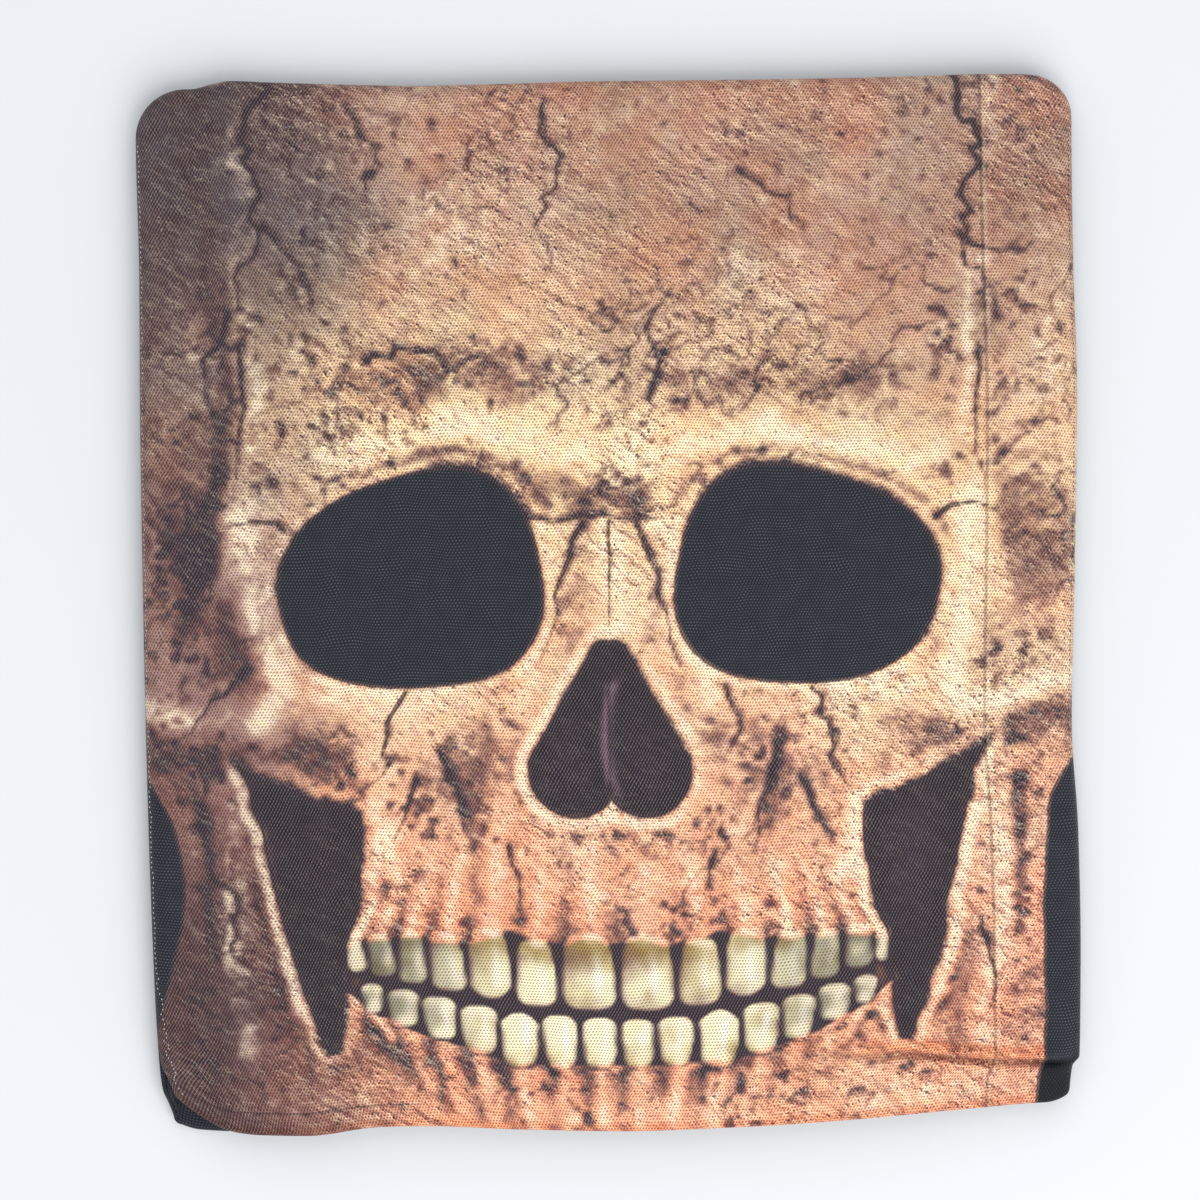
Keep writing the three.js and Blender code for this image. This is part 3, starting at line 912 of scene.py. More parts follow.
        layers.gloss[area] = np.maximum(layers.gloss[area], shine)
        return start

    @cached_property
    def crack_marks(self) -> tuple[Array, Array]:
        """Draws the cracks and the seams of the bone as wandering lines.

        Returns:
            The signed distance to the lines, and how deep their grooves are.
        """
        canvas, random = self.canvas, np.random.default_rng(self.seed + 1)
        distance = np.full(canvas.x.shape, 9.0)
        groove = np.zeros(canvas.x.shape)
        for crack in self.cracks:
            points = np.array(crack.points, float)
            length = np.hypot(*np.diff(points, axis=0).T).sum()
            count = max(int(length / crack.step), 3)
            path = evenly(points, count + 1)
            path[1:-1] += random.uniform(-crack.sway, crack.sway, (count - 1, 2))
            for start, end, share in zip(path[:-1], path[1:], np.linspace(0.0, 1.0, count)):
                area = canvas.window(tuple(np.minimum(start, end)), tuple(np.maximum(start, end)), 5.0)
                far, _ = bar_distance(canvas.x[area], canvas.y[area], tuple(start), tuple(end))
                width = crack.width * (1.05 - 0.75 * share**1.5)
                distance[area] = np.minimum(distance[area], far - width)
                depth = np.exp(-((far / (1.3 * width + 0.5)) ** 2)) * (1 - 0.5 * share)
                groove[area] = np.maximum(groove[area], depth)
        return distance, groove

    @cached_property
    def pits(self) -> Array:
        """Scatters small round pits, many in some places and few in others.

        Returns: how deep the pits are, from 0 to about 1.
        """
        canvas, random = self.canvas, np.random.default_rng(self.seed + 2)
        pits = np.zeros(canvas.x.shape)
        count = self.pit_count
        at = np.stack([random.uniform(-124, 124, count), random.uniform(0, 276, count)], axis=-1)
        crowd = fractal(at[:, 0], at[:, 1], 34.0, 2, 45)
        size = 0.45 + 1.1 * random.random(count) ** 4
        for (x, y), reach, crowded in zip(at, size, crowd):
            if crowded < random.uniform(-0.7, 0.5):
                continue
            area = canvas.window((x, y), (x, y), 5.0)
            stretch, turn = random.uniform(1.0, 2.1), random.uniform(0.0, math.pi)
            across, up = canvas.x[area] - x, canvas.y[area] - y
            long = (across * math.cos(turn) + up * math.sin(turn)) / stretch
            wide = up * math.cos(turn) - across * math.sin(turn)
            depth = np.exp(-((long**2 + wide**2) / reach**2))
            pits[area] = np.maximum(pits[area], depth * random.uniform(0.45, 1.0))
        return pits

    @cached_property
    def relief(self) -> Array:
        """The skull's relief, which only shades the print: a broad dome with mounds, bars, rims and furrows.

        Returns: its height.
        """
        x, y, side = self.canvas.x, self.canvas.y, self.side
        bend_x = x + 2.6 * fractal(x, y, 30.0, 2, 50)
        bend_side, bend_y = np.abs(bend_x), y + 2.6 * fractal(x, y, 30.0, 2, 49)
        relief = -0.0016 * side**2 - 0.0022 * np.maximum(y - 208.0, 0.0) ** 2
        for mound in self.mounds:
            cosine, sine = math.cos(mound.turn), math.sin(mound.turn)
            across, up = bend_side - mound.at[0], bend_y - mound.at[1]
            relief += mound.rise * np.exp(-((across * cosine + up * sine) / mound.reach[0]) ** 2
                                          - ((up * cosine - across * sine) / mound.reach[1]) ** 2)
        for ridge in self.ridges:
            far, _ = bar_distance(bend_side, bend_y, ridge.start, ridge.end)
            relief += ridge.rise * np.exp(-((far / ridge.radius) ** 2))
        temple = Curve((120, 150, 170, 195, 225, 284), (106, 97, 93.5, 93, 96.5, 106)).at(y)
        line = temple + 2.2 * lattice(x, y, 14.0, 51)
        deep = ease(112.0, 145.0, y) * (0.3 + 0.7 * ease(250.0, 170.0, y))
        relief -= (9.0 - 5.5 * ease(-20.0, 40.0, x)) * ease(-1.0, 8.0, side - line) * deep
        worn = 0.55 + 0.6 * lattice(x, y, 21.0, 60)
        relief += 3.0 * worn * np.exp(-(((side - line + 2.0) / 3.0) ** 2)) * ease(118.0, 150.0, y)
        uneven = 0.8 + 0.45 * lattice(x, y, 16.0, 64)
        brow = 1.6 + 2.4 * ease(132.0, 162.0, y)
        relief += self.socket_swelling.relief(self.sockets, uneven * brow, x, y)
        for rim, hollow in ((self.socket_rim, self.sockets), (self.nose_rim, self.nose),
                            (self.jaw_rim, self.beside_jaw)):
            relief += rim.relief(hollow, uneven, x, y)
        septum, _ = bar_distance(x + 1.2 * np.sin(y / 7.0), y, (0.0, 80.0), (0.0, 112.0))
        relief += 7.0 * np.exp(-((septum / 2.6) ** 2)) * ease(0.5, -3.0, self.nose)
        relief += self.root_field()
        gap = np.maximum(self.teeth.mouth, -self.teeth.distance)
        relief += 4.2 * self.teeth.dome - 3.0 * ease(0.5, -0.6, gap)
        rough = ease(-0.5, 1.0, self.teeth.mouth) * (0.25 + 0.75 * ease(-0.8, 0.4, self.hollow))
        return relief + rough * self.wear_field()

    @cached_property
    def wear(self) -> Array:
        """How rough the bone is painted, from 0 on teeth and in hollows to 1 where it is most weathered."""
        x, y = self.canvas.x, self.canvas.y
        patches = 0.45 + 0.55 * ease(-0.5, 0.5, fractal(x, y, 33.0, 3, 46))
        calm = 1.0 - 0.5 * ease(-70.0, -104.0, x)
        flat = ease(-0.5, 1.5, self.teeth.mouth) * (0.12 + 0.88 * ease(-0.5, 1.0, self.hollow))
        return calm * patches * flat

    def wear_field(self) -> Array:
        """The bone's own roughness: swells, slanted grain, worn veins, porous spots, cracks and pits.

        Returns: its height.
        """
        x, y = self.canvas.x, self.canvas.y
        swell = 1.5 * fractal(x, y, 24.0, 3, 52)
        along, aslant = x * 0.82 + y * 0.57, y * 0.82 - x * 0.57
        grain = 0.5 * fractal(along / 2.6, aslant, 4.2, 3, 53) + 0.3 * fractal(x, y, 3.0, 2, 58)
        vein = np.abs(fractal(along * 0.8, aslant, 13.0, 4, 54))
        where = ease(-0.1, 0.6, fractal(x, y, 38.0, 2, 55))
        porous = ease(0.25, 0.85, fractal(x, y, 3.4, 2, 56)) * ease(0.05, 0.7, fractal(x, y, 30.0, 3, 59))
        return (swell + grain - 1.1 * ease(0.1, 0.0, vein) * where - 1.5 * porous - 1.7 * self.crack_marks[1]
                - 1.5 * self.pits)

    def root_field(self) -> Array:
        """The swellings that the teeth's roots make in the jaws: a furrowed band above and below the teeth.

        Returns: their height.
        """
        y, side = self.canvas.y, self.side
        roots = np.zeros(y.shape)
        for row, up in ((self.upper, 1.0), (self.lower, -1.0)):
            start = 0.25
            for number, tooth in enumerate(row):
                middle = start + tooth.width / 2
                start += tooth.width + 0.55
                gum = self.bite_line(np.array(middle)) + up * (tooth.height + 1.0)
                reach = (27.0, 22.0, 30.0, 22.0, 18.0, 14.0, 10.0)[number]
                far, t = bar_distance(side, y, (middle, float(gum)), (middle * 0.9, float(gum + up * reach)))
                narrow = tooth.width * (0.36 - 0.1 * t)
                roots += (4.6 - 3.4 * t) * np.exp(-((far / narrow) ** 2))
        return roots

    @cached_property
    def tint(self) -> Array:
        """Colours the relief: a painted light from the upper right, dark furrows and pale ridges.

        The tone is how much more the relief faces the light than flat bone does, plus how far it stands out
        from its softened self on three scales. Low tones are brown, then nearly black; high ones are cream.

        Returns:
            The print's colour, as screen numbers from 0 to 1.
        """
        canvas, x, y = self.canvas, self.canvas.x, self.canvas.y
        up, right = np.gradient(self.relief, canvas.cell)
        facing = self.light[2] - self.light[0] * right - self.light[1] * up
        lit = facing / np.sqrt(1.0 + right**2 + up**2) / self.light[2]
        tone = self.light_weight * (lit - 1.0)
        for radius, weight in zip(self.soft_radii, self.soft_weights):
            tone += weight * (self.relief - canvas.blur(self.relief, radius))
        tone += 0.10 * fractal(x, y, 50.0, 3, 61) + 0.06 * fractal(x, y, 9.0, 3, 62)
        base = self.base_colour()
        colour = blend(base, Zone.SHADE.paint * (0.5 + 0.75 * base), 0.8 * ease(0.02, -0.5, tone))
        colour = blend(colour, Zone.DEEP.paint, ease(-0.32, -0.95, tone))
        ragged = 0.2 * fractal(x, y, 4.0, 3, 63)
        colour = blend(colour, Zone.LIGHT.paint, 0.76 * ease(0.06, 0.82, tone + ragged))
        colour = blend(colour, 1.0, 0.75 * self.teeth.gloss * ease(70.0, 30.0, self.side))
        inside = ease(-0.7, 1.0, tone)[..., None]
        deep = Zone.DEEP.paint * (0.75 + 0.5 * inside) + inside**2 * Zone.BARE.paint * 0.3
        hollow = np.maximum(ease(0.8, -1.0, self.nose), ease(0.8, -1.6, self.beside_jaw))
        return np.clip(blend(colour, deep, hollow), 0.0, 1.0)

    def base_colour(self) -> Array:
        """The bone's own colour: pink-brown crown, cream brow, orange jaw, dim left side and yellow teeth.

        Returns:
            The colour, as screen numbers from 0 to 1.
        """
        x, y = self.canvas.x, self.canvas.y
        height = y + 16.0 * fractal(x, y, 60.0, 3, 71)
        stops = ((16.0, Zone.JAW), (62.0, Zone.JAW), (112.0, Zone.CHEEK), (168.0, Zone.FOREHEAD),
                 (240.0, Zone.CROWN))
        places = [place for place, _ in stops]
        colour = np.stack([np.interp(height, places, [zone.value[part] / 255.0 for _, zone in stops])
                           for part in range(3)], axis=-1)
        patches = fractal(x, y, 20.0, 4, 72)[..., None]
        rosy = fractal(x, y, 15.0, 4, 75)[..., None]
        colour = colour + patches * np.array([0.035, 0.055, 0.06]) + rosy * np.array([0.03, -0.02, -0.03])
        left = ease(-50.0, -108.0, x + 10.0 * fractal(x, y, 40.0, 2, 73))
        middle_left = ease(60.0, 110.0, y) * ease(190.0, 150.0, y)
        colour = colour * toned(left, np.array([0.55, 0.5, 0.58]) * (1 + 0.12 * middle_left[..., None]))
        for share, factor in ((left * ease(96.0, 40.0, y), (0.6, 0.58, 0.68)),
                              (left * ease(176.0, 236.0, y), (0.7, 0.77, 0.88)),
                              (ease(60.0, 118.0, x), (0.94, 0.93, 0.95))):
            colour = colour * toned(share, factor)
        neck = ease(0.5, 1.05, np.abs(y - self.bite_line(self.side)) / 17.0)
        darkening = np.clip(0.45 * fractal(x, y, 7.0, 3, 74) + neck, 0.0, 1.0)
        tooth = blend(Zone.TOOTH.paint, Zone.TOOTH_ROOT.paint, darkening)
        tooth = tooth * (1 - 0.5 * ease(26.0, 68.0, self.side)[..., None])
        return blend(colour, tooth, ease(0.4, -0.4, np.maximum(self.teeth.mouth, self.teeth.distance)))


class Socket:
    """A shader value in a graph, on which Python's sums work by adding Math nodes."""

    def __init__(self, graph: "Graph", source: bpy.types.NodeSocket) -> None:
        """Wraps a node's output."""
        self.graph = graph
        self.source = source

    def math(self, operation: str, *others: "Socket | float") -> "Socket":
        """One Math node on this value and others."""
        return self.graph.value("ShaderNodeMath", {"operation": operation}, dict(enumerate((self, *others))))

    def __add__(self, other: "Socket | float") -> "Socket":
        """This plus other, or other plus this."""
        return self.math("ADD", other)

    __radd__ = __add__

    def __sub__(self, other: "Socket | float") -> "Socket":
        """This less other."""
        return self.math("SUBTRACT", other)

    def __rsub__(self, other: float) -> "Socket":
        """Other less this."""
        return self.graph.value("ShaderNodeMath", {"operation": "SUBTRACT"}, {0: other, 1: self})

    def __mul__(self, other: "Socket | float") -> "Socket":
        """This times other, or other times this."""
        return self.math("MULTIPLY", other)

    __rmul__ = __mul__

    def __truediv__(self, other: "Socket | float") -> "Socket":
        """This over other."""
        return self.math("DIVIDE", other)

    def __mod__(self, other: "Socket | float") -> "Socket":
        """What is left of this over other."""
        return self.math("FLOORED_MODULO", other)

    def __abs__(self) -> "Socket":
        """This without its sign."""
        return self.math("ABSOLUTE")

    def step(self, low: float, high: float) -> "Socket":
        """The smooth step from 0 at low to 1 at high, which may be below low."""
        turned = low > high
        settings = {"interpolation_type": "SMOOTHSTEP"}
        inputs = {"Value": self, "From Min": min(low, high), "From Max": max(low, high),
                  "To Min": 1.0 if turned else 0.0, "To Max": 0.0 if turned else 1.0}
        return self.graph.value("ShaderNodeMapRange", settings, inputs, "Result")


class Graph:
    """A material's node graph, made from empty."""

    def __init__(self, name: str) -> None:
        """Makes the material and its output."""
        self.material = bpy.data.materials.new(name)
        self.material.use_nodes = True
        self.tree = self.material.node_tree
        self.tree.nodes.clear()
        self.output = self.tree.nodes.new("ShaderNodeOutputMaterial")

    def node(self, kind: str, settings: dict[str, object], inputs: dict[object, object]) -> bpy.types.Node:
        """Adds a node.

        Args:
            kind: the node's type.
            settings: its settings, made first.
            inputs: a value or link for each socket, by name or number.

        Returns: the node.
        """
        node = self.tree.nodes.new(kind)
        for name, value in settings.items():
            setattr(node, name, value)
        for key, value in inputs.items():
            if isinstance(value, Socket):
                self.tree.links.new(value.source, node.inputs[key])
            else:
                node.inputs[key].default_value = value
        return node

    def value(self, kind: str, settings: dict[str, object], inputs: dict[object, object],
              output: int | str = 0) -> Socket:
        """Adds a node, and gives one of its outputs."""
        return Socket(self, self.node(kind, settings, inputs).outputs[output])

    def attribute(self, name: str, output: str = "Fac") -> Socket:
        """A vertex attribute of the piece."""
        return self.value("ShaderNodeAttribute", {"attribute_name": name}, {}, output)

    def mix(self, factor: Socket | float, first: Socket | Colour, second: Socket | Colour,
            blend: str = "MIX") -> Socket:
        """Blends two colours.

        Args:
            factor: how much of the second.
            first: the first colour.
            second: the second colour.
            blend: how they blend.

        Returns: the blended colour.
        """
        def full(colour: Socket | Colour) -> Socket | tuple[float, ...]:
            """A plain colour with its alpha, or a linked one as it is."""
            return colour if isinstance(colour, Socket) else (*colour, 1.0)

        return self.value("ShaderNodeMix", {"data_type": "RGBA", "blend_type": blend},
                          {0: factor, 6: full(first), 7: full(second)}, 2)

    def tinted(self, colour: Socket, factor: Colour) -> Socket:
        """A colour times another one."""
        return self.mix(1.0, colour, factor, "MULTIPLY")

    def noise(self, vector: Socket, scale: float, detail: float = 3.0, roughness: float = 0.55) -> Socket:
        """A noise texture's strength, from 0 to 1."""
        return self.value("ShaderNodeTexNoise", {"noise_dimensions": "3D"},
                          {"Vector": vector, "Scale": scale, "Detail": detail, "Roughness": roughness})

    def moved(self, vector: Socket, shift: Socket | Vector3) -> Socket:
        """A place moved by a shift."""
        return self.value("ShaderNodeVectorMath", {"operation": "ADD"}, {0: vector, 1: shift})

    def parts(self, vector: Socket) -> tuple[Socket, Socket]:
        """The first two parts of a place or a colour."""
        node = self.node("ShaderNodeSeparateXYZ", {}, {0: vector})
        return Socket(self, node.outputs[0]), Socket(self, node.outputs[1])

    def turned(self, vector: Socket, angle: float, scale: Vector3) -> Socket:
        """A place turned about the third axis and then scaled."""
        turn = self.value("ShaderNodeVectorRotate", {"rotation_type": "Z_AXIS"},
                          {"Vector": vector, "Angle": angle})
        return self.value("ShaderNodeVectorMath", {"operation": "MULTIPLY"}, {0: turn, 1: scale})

    def cells(self, vector: Socket, scale: float, feature: str) -> bpy.types.Node:
        """A flat cell texture, whose feature says which distance it gives."""
        return self.node("ShaderNodeTexVoronoi", {"voronoi_dimensions": "2D", "feature": feature},
                         {"Vector": vector, "Scale": scale})

    def finish(self, colour: Socket, roughness: Socket | float, height: Socket | None, depth: float,
               sheen: float) -> Material:
        """Ends the graph in a cloth surface.

        Args:
            colour: its colour.
            roughness: its roughness.
            height: its relief from 0 to 1, or none.
            depth: the relief's depth in metres.
            sheen: how much its fibres catch the light.

        Returns: the material.
        """
        inputs = {"Base Color": colour, "Roughness": roughness, "Sheen Weight": sheen, "Sheen Roughness": 0.5,
                  "Specular IOR Level": 0.2}
        if height is not None:
            bump = {"Height": height, "Strength": 0.6, "Distance": depth}
            inputs["Normal"] = self.value("ShaderNodeBump", {}, bump, "Normal")
        surface = self.node("ShaderNodeBsdfPrincipled", {}, inputs)
        self.tree.links.new(surface.outputs[0], self.output.inputs["Surface"])
        return self.material


@dataclass(frozen=True)
class Stitching:
    """The pattern place in millimetres of a material, and what the knit gives there, from 0 to 1."""

    graph: Graph
    spot: Socket
    across: Socket
    height: Socket
    hole: Socket
    loop: Socket
    dash: Socket
    furrow: Socket
    cloud: Socket

    @property
    def relief(self) -> Socket:
        """The knit's relief: its loops stand up and its holes go down."""
        return self.loop * 0.35 - self.hole


@dataclass(frozen=True)
class MeshKnit:
    """The warp knit: small slanted holes in rows that are set off by half a hole from each other."""

    across: float = 0.82
    along: float = 0.75
    lean: float = 0.34
    hole: Pair = (0.27, 0.34)
    loop: Pair = (0.17, 0.42)
    dash: Pair = (0.43, 0.19)
    drift: Pair = (2.6, 1.9)
    drift_scale: float = 0.09
    depth: float = 0.0002

    def draw(self, graph: Graph) -> Stitching:
        """Draws the knit in the piece's pattern map, which is in millimetres.

        Args:
            graph: the material.

        Returns:
            The place and its two parts, how open the cloth is, how high the loop between two holes stands,
            how much its flat back catches the light, how near the furrow between rows is, and a cloud.
        """
        spot = graph.value("ShaderNodeUVMap", {"uv_map": "pattern"}, {})
        u, v = graph.parts(spot)
        drift = graph.noise(spot, self.drift_scale, 1.0) - 0.5
        line = (v + drift * self.drift[1]) / self.along
        row = line.math("FLOOR")
        up = line - row - 0.5
        wale = (u + drift * self.drift[0]) / self.across + (row % 2.0) * 0.5 - up * self.lean

        def oval(place: Socket, reach: Pair) -> Socket:
            """The distance from the middle of an oval that repeats along the row, with 1 on its edge."""
            side = (place - place.math("FLOOR") - 0.5) / reach[0]
            rise = up / reach[1]
            return (side * side + rise * rise).math("SQRT")

        hole = oval(wale, self.hole).step(1.25, 0.6)
        loop = oval(wale + 0.5, self.loop).step(1.35, 0.45)
        dash = oval(wale + up * self.lean + 0.5, self.dash).step(1.4, 0.4)
        cloud = graph.noise(spot, 0.22, 4.0, 0.6)
        return Stitching(graph, spot, u, v, hole, loop, dash, abs(up).step(0.26, 0.48), cloud)


@dataclass(frozen=True)
class BlackYarn:
    """Black yarn, with painted glints on the backs of its loops, a darker inside in its holes and painted
    shade in its furrows.
    """

    yarn: Colour = screen(30, 33, 41)
    glint: Colour = screen(90, 94, 106)
    inside: Colour = screen(3, 5, 9)
    glint_share: float = 1.2
    hole_share: float = 0.6
    furrow_share: float = 0.45

    def colour(self, knit: Stitching) -> Socket:
        """The yarn's colour on the knit."""
        black = knit.graph.mix(knit.dash * knit.cloud * self.glint_share, self.yarn, self.glint)
        black = knit.graph.mix(knit.hole * self.hole_share, black, self.inside)
        # Painted shade in the furrows between the rows.
        return knit.graph.mix(knit.furrow * self.furrow_share, black, self.inside)


@dataclass(frozen=True)
class PrintedKnit:
    """White mesh knit, printed with the skull: ink lies on the yarn and the dark inside shows in the holes.

    The print's own fine marks are worked out here, in millimetres of the pattern. A mark's tone is its height
    less the height a little nearer to the painted light, so its lit slopes are pale and the others dark.
    """

    knit: MeshKnit = MeshKnit()
    black: BlackYarn = BlackYarn()
    hem_height: float = 10.6
    line: Colour = screen(44, 30, 40)
    pale: Colour = screen(250, 236, 200)
    inside: Colour = screen(38, 28, 36)
    bare_yarn: Colour = screen(206, 200, 196)
    cool: Colour = (0.94, 0.88, 1.02)
    warm: Colour = (1.06, 1.1, 0.92)
    darkened: Colour = (0.3, 0.2, 0.27)
    lightened: Colour = (1.6, 1.6, 1.5)
    # Painted shade, a deeper orange, on the neck edge's fold.
    fold_shade: Colour = (0.8, 0.5, 0.36)
    holed: Colour = (0.44, 0.3, 0.29)
    towards_light: Vector3 = (0.2, 0.3, 0.0)
    pit_sizes: tuple[Vector3, ...] = ((0.34, 0.62, 0.17), (0.62, 0.52, 0.2))
    # Where the crease by the right seam runs, across and its slope: its painted shadow and highlight follow
    # it.
    painted_crease_line: Pair = (97.3, -0.005)
    sewn_height: float = 4.6
    sewn_end: Pair = (-46.0, -64.0)

    def pits(self, graph: Graph, place: Socket) -> Socket:
        """The depth of scattered pits, from 0 to 1: the near parts of some of the cells of two textures."""
        depth = None
        for scale, share, reach in self.pit_sizes:
            cell = graph.cells(place, scale, "F1")
            chosen, _ = graph.parts(Socket(graph, cell.outputs["Color"]))
            near = Socket(graph, cell.outputs["Distance"]).step(reach, reach * 0.3)
            pit = near * chosen.step(share, share + 0.1)
            depth = pit if depth is None else depth.math("MAXIMUM", pit)
        return depth

    def tone(self, graph: Graph, spot: Socket) -> tuple[Socket, Socket]:
        """How light or dark the print's fine marks are, and where its pits are.

        Args:
            graph: the material.
            spot: the pattern place.

        Returns: the tone, about from -1 to 1, and the pits' depth.
        """
        bend = graph.value("ShaderNodeTexNoise", {"noise_dimensions": "2D"},
                           {"Vector": spot, "Scale": 0.5, "Detail": 2.0}, "Color")
        swing = graph.value("ShaderNodeVectorMath", {"operation": "SCALE"}, {0: bend, "Scale": 1.6})
        bent = graph.moved(spot, swing)
        lit = graph.moved(bent, self.towards_light)
        pit, next_pit = self.pits(graph, bent), self.pits(graph, lit)

        def grain(where: Socket) -> Socket:
            """Short strokes that run aslant, and finer crumbs."""
            strokes = graph.noise(graph.turned(where, 0.6, (0.4, 1.0, 1.0)), 0.34, 4.0, 0.6)
            return strokes * 1.7 + graph.noise(where, 0.7, 2.0, 0.55) * 0.5

        return (grain(bent) - grain(lit)) * 2.6 + (next_pit - pit) * 0.8, pit

    def weathered(self, knit: Stitching) -> Socket:
        """The painted tint with drifting hue, and the fine marks where the print is worn."""
        graph = knit.graph
        hue = graph.noise(knit.spot, 0.33, 3.0, 0.6)
        tint, wear = graph.attribute("tint", "Color"), graph.attribute("wear")
        tone, pit = self.tone(graph, knit.spot)
        tone = (tone + (knit.cloud - 0.5) * 0.9) * wear
        cool, warm = (graph.tinted(tint, factor) for factor in (self.cool, self.warm))
        colour = graph.mix((hue - 0.5) * 1.6 + 0.5, cool, warm)
        colour = graph.mix((0.0 - tone) * 1.7, colour, graph.tinted(colour, self.darkened))
        pale = graph.mix(0.35, graph.tinted(colour, self.lightened), self.pale)
        return graph.mix(pit * wear * 0.6, graph.mix(tone * 1.4, colour, pale), self.line)

    def sewn_line_and_shading(self, knit: Stitching, colour: Socket, ragged: Socket) -> Socket:
        """The sewn line on the cloth, and painted shade and highlight where it is creased and folded.

        Args:
            knit, colour: the knit and its colour.
            ragged: what makes the marks' edges uneven.

        Returns:
            The colour with a painted shadow and a painted highlight along the crease beside the right seam,
            the neck edge's sewn line at the left, and painted shade on its fold.
        """
        graph = knit.graph
        beside = knit.across - self.painted_crease_line[0] - knit.height * self.painted_crease_line[1] + ragged * 0.5
        # A painted shadow along the crease, and a painted highlight just beside it.
        colour = graph.mix(abs(beside).step(0.62, 0.2) * (0.15 + knit.cloud * 0.5), colour, self.inside)
        colour = graph.mix(abs(beside - 0.9).step(0.6, 0.2) * knit.cloud * 0.25, colour, self.pale)
        sewn = abs(knit.height - self.sewn_height + ragged * 0.8).step(0.6, 0.15)
        colour = graph.mix(sewn * knit.across.step(*self.sewn_end) * knit.cloud, colour, self.inside)
        # Painted shade, a deeper orange, on the neck edge's fold.
        return graph.mix(knit.height.step(1.8, 0.3) * 0.45, colour, graph.tinted(colour, self.fold_shade))

    def material(self) -> Material:
        """Builds the finish from the piece's print attributes."""
        graph = Graph("printed_mesh_knit")
        knit = self.knit.draw(graph)
        ragged = graph.noise(knit.spot, 0.55, 2.0) - 0.5
        colour = self.weathered(knit)
        line = (graph.attribute("line") + ragged * 0.9).step(0.35, -0.3)
        rim = (abs(graph.attribute("hollow") + ragged * 0.6)).step(0.75, 0.2)
        edge = (abs(graph.attribute("ink") - 0.3 + ragged * 0.8)).step(0.75, 0.2)
        colour = graph.mix(line.math("MAXIMUM", rim).math("MAXIMUM", edge) * 0.9, colour, self.line)
        colour = graph.mix(knit.loop * (0.08 + knit.cloud * 0.2), colour, self.bare_yarn)
        colour = self.sewn_line_and_shading(knit, colour, ragged)
        shown = graph.mix(0.3, graph.tinted(colour, self.holed), self.inside)
        colour = graph.mix(knit.hole * 0.9, colour, shown)
        hem = (knit.height + ragged * 2.0).step(self.hem_height + 1.0, self.hem_height - 1.0)
        black = graph.mix(hem * 0.7, self.black.colour(knit), self.black.inside)
        ink = (graph.attribute("ink") + ragged * 0.5).step(0.25, -0.2)
        roughness = 0.72 + knit.hole * 0.2 - ink * 0.1
        return graph.finish(graph.mix(ink, colour, black), roughness, knit.relief, self.knit.depth, 0.08)


@dataclass(frozen=True)
class BlackKnit:
    """The same mesh knit, dyed black."""

    knit: MeshKnit = MeshKnit()
    black: BlackYarn = BlackYarn()

    def material(self) -> Material:
        """Builds the finish on the piece's pattern map."""
        graph = Graph("black_mesh_knit")
        knit = self.knit.draw(graph)
        colour, roughness = self.black.colour(knit), 0.72 + knit.hole * 0.28
        return graph.finish(colour, roughness, knit.relief, self.knit.depth, 0.06)


@dataclass(frozen=True)
class SpunThread:
    """Spun thread, with a twist that shows as fine slanted bands."""

    name: str
    colour: Colour
    shade: Colour

    def material(self) -> Material:
        """Builds the finish on object coordinates."""
        graph = Graph(self.name)
        place = graph.value("ShaderNodeTexCoord", {}, {}, "Object")
        twist = graph.value("ShaderNodeTexWave", {"bands_direction": "DIAGONAL"},
                            {"Vector": place, "Scale": 900.0, "Distortion": 1.2, "Detail": 1.0}, "Fac")
        fuzz = graph.noise(place, 2600.0, 2.0)
        colour = graph.mix(twist * 0.6 + fuzz * 0.4, self.shade, self.colour)
        return graph.finish(colour, 0.55 + fuzz * 0.25, twist, 0.00008, 0.3)


@dataclass(frozen=True)
class Tabletop:
    """A plain pale table, with the least unevenness that paint has."""

    colour: Colour = screen(211, 213, 215)

    def material(self) -> Material:
        """Builds the finish on object coordinates."""
        graph = Graph("pale_table")
        place = graph.value("ShaderNodeTexCoord", {}, {}, "Object")
        cloud = graph.noise(place, 3.0, 3.0)
        colour = graph.mix(cloud, self.colour, tuple(part * 0.985 for part in self.colour))
        return graph.finish(colour, 0.62, None, 0.0, 0.0)


def mesh_object(name: str, points: Array, faces: Array, material: Material) -> Piece:
    """Puts computed points and faces into a new object at the origin.

    Args:
        name: the object's name.
        points: its points in millimetres, one a row.
        faces: its faces as rows of indices, all triangles or all quads.
        material: its finish.

    Returns: the object, smooth except at sharp edges.
    """
    mesh = bpy.data.meshes.new(name)
    corners = faces.shape[1]
    mesh.vertices.add(len(points))
    mesh.vertices.foreach_set("co", (points * MM).astype(np.float32).ravel())
    mesh.loops.add(faces.size)
    mesh.loops.foreach_set("vertex_index", faces.astype(np.int32).ravel())
    mesh.polygons.add(len(faces))
    mesh.polygons.foreach_set("loop_start", np.arange(0, faces.size, corners, dtype=np.int32))
    mesh.update(calc_edges=True)
    mesh.polygons.foreach_set("use_smooth", np.ones(len(faces), dtype=bool))
    mesh.set_sharp_from_angle(angle=math.radians(60))
    mesh.validate()
    mesh.materials.append(material)
    piece = bpy.data.objects.new(name, mesh)
    bpy.context.scene.collection.objects.link(piece)
    return piece


def grid_faces(rows: int, columns: int, first: int) -> Array:
    """The quads of a grid whose points are numbered row by row from first."""
    row, column = np.meshgrid(np.arange(rows - 1), np.arange(columns - 1), indexing="ij")
    corner = (first + row * columns + column).ravel()
    return np.stack([corner, corner + 1, corner + columns + 1, corner + columns], axis=-1)


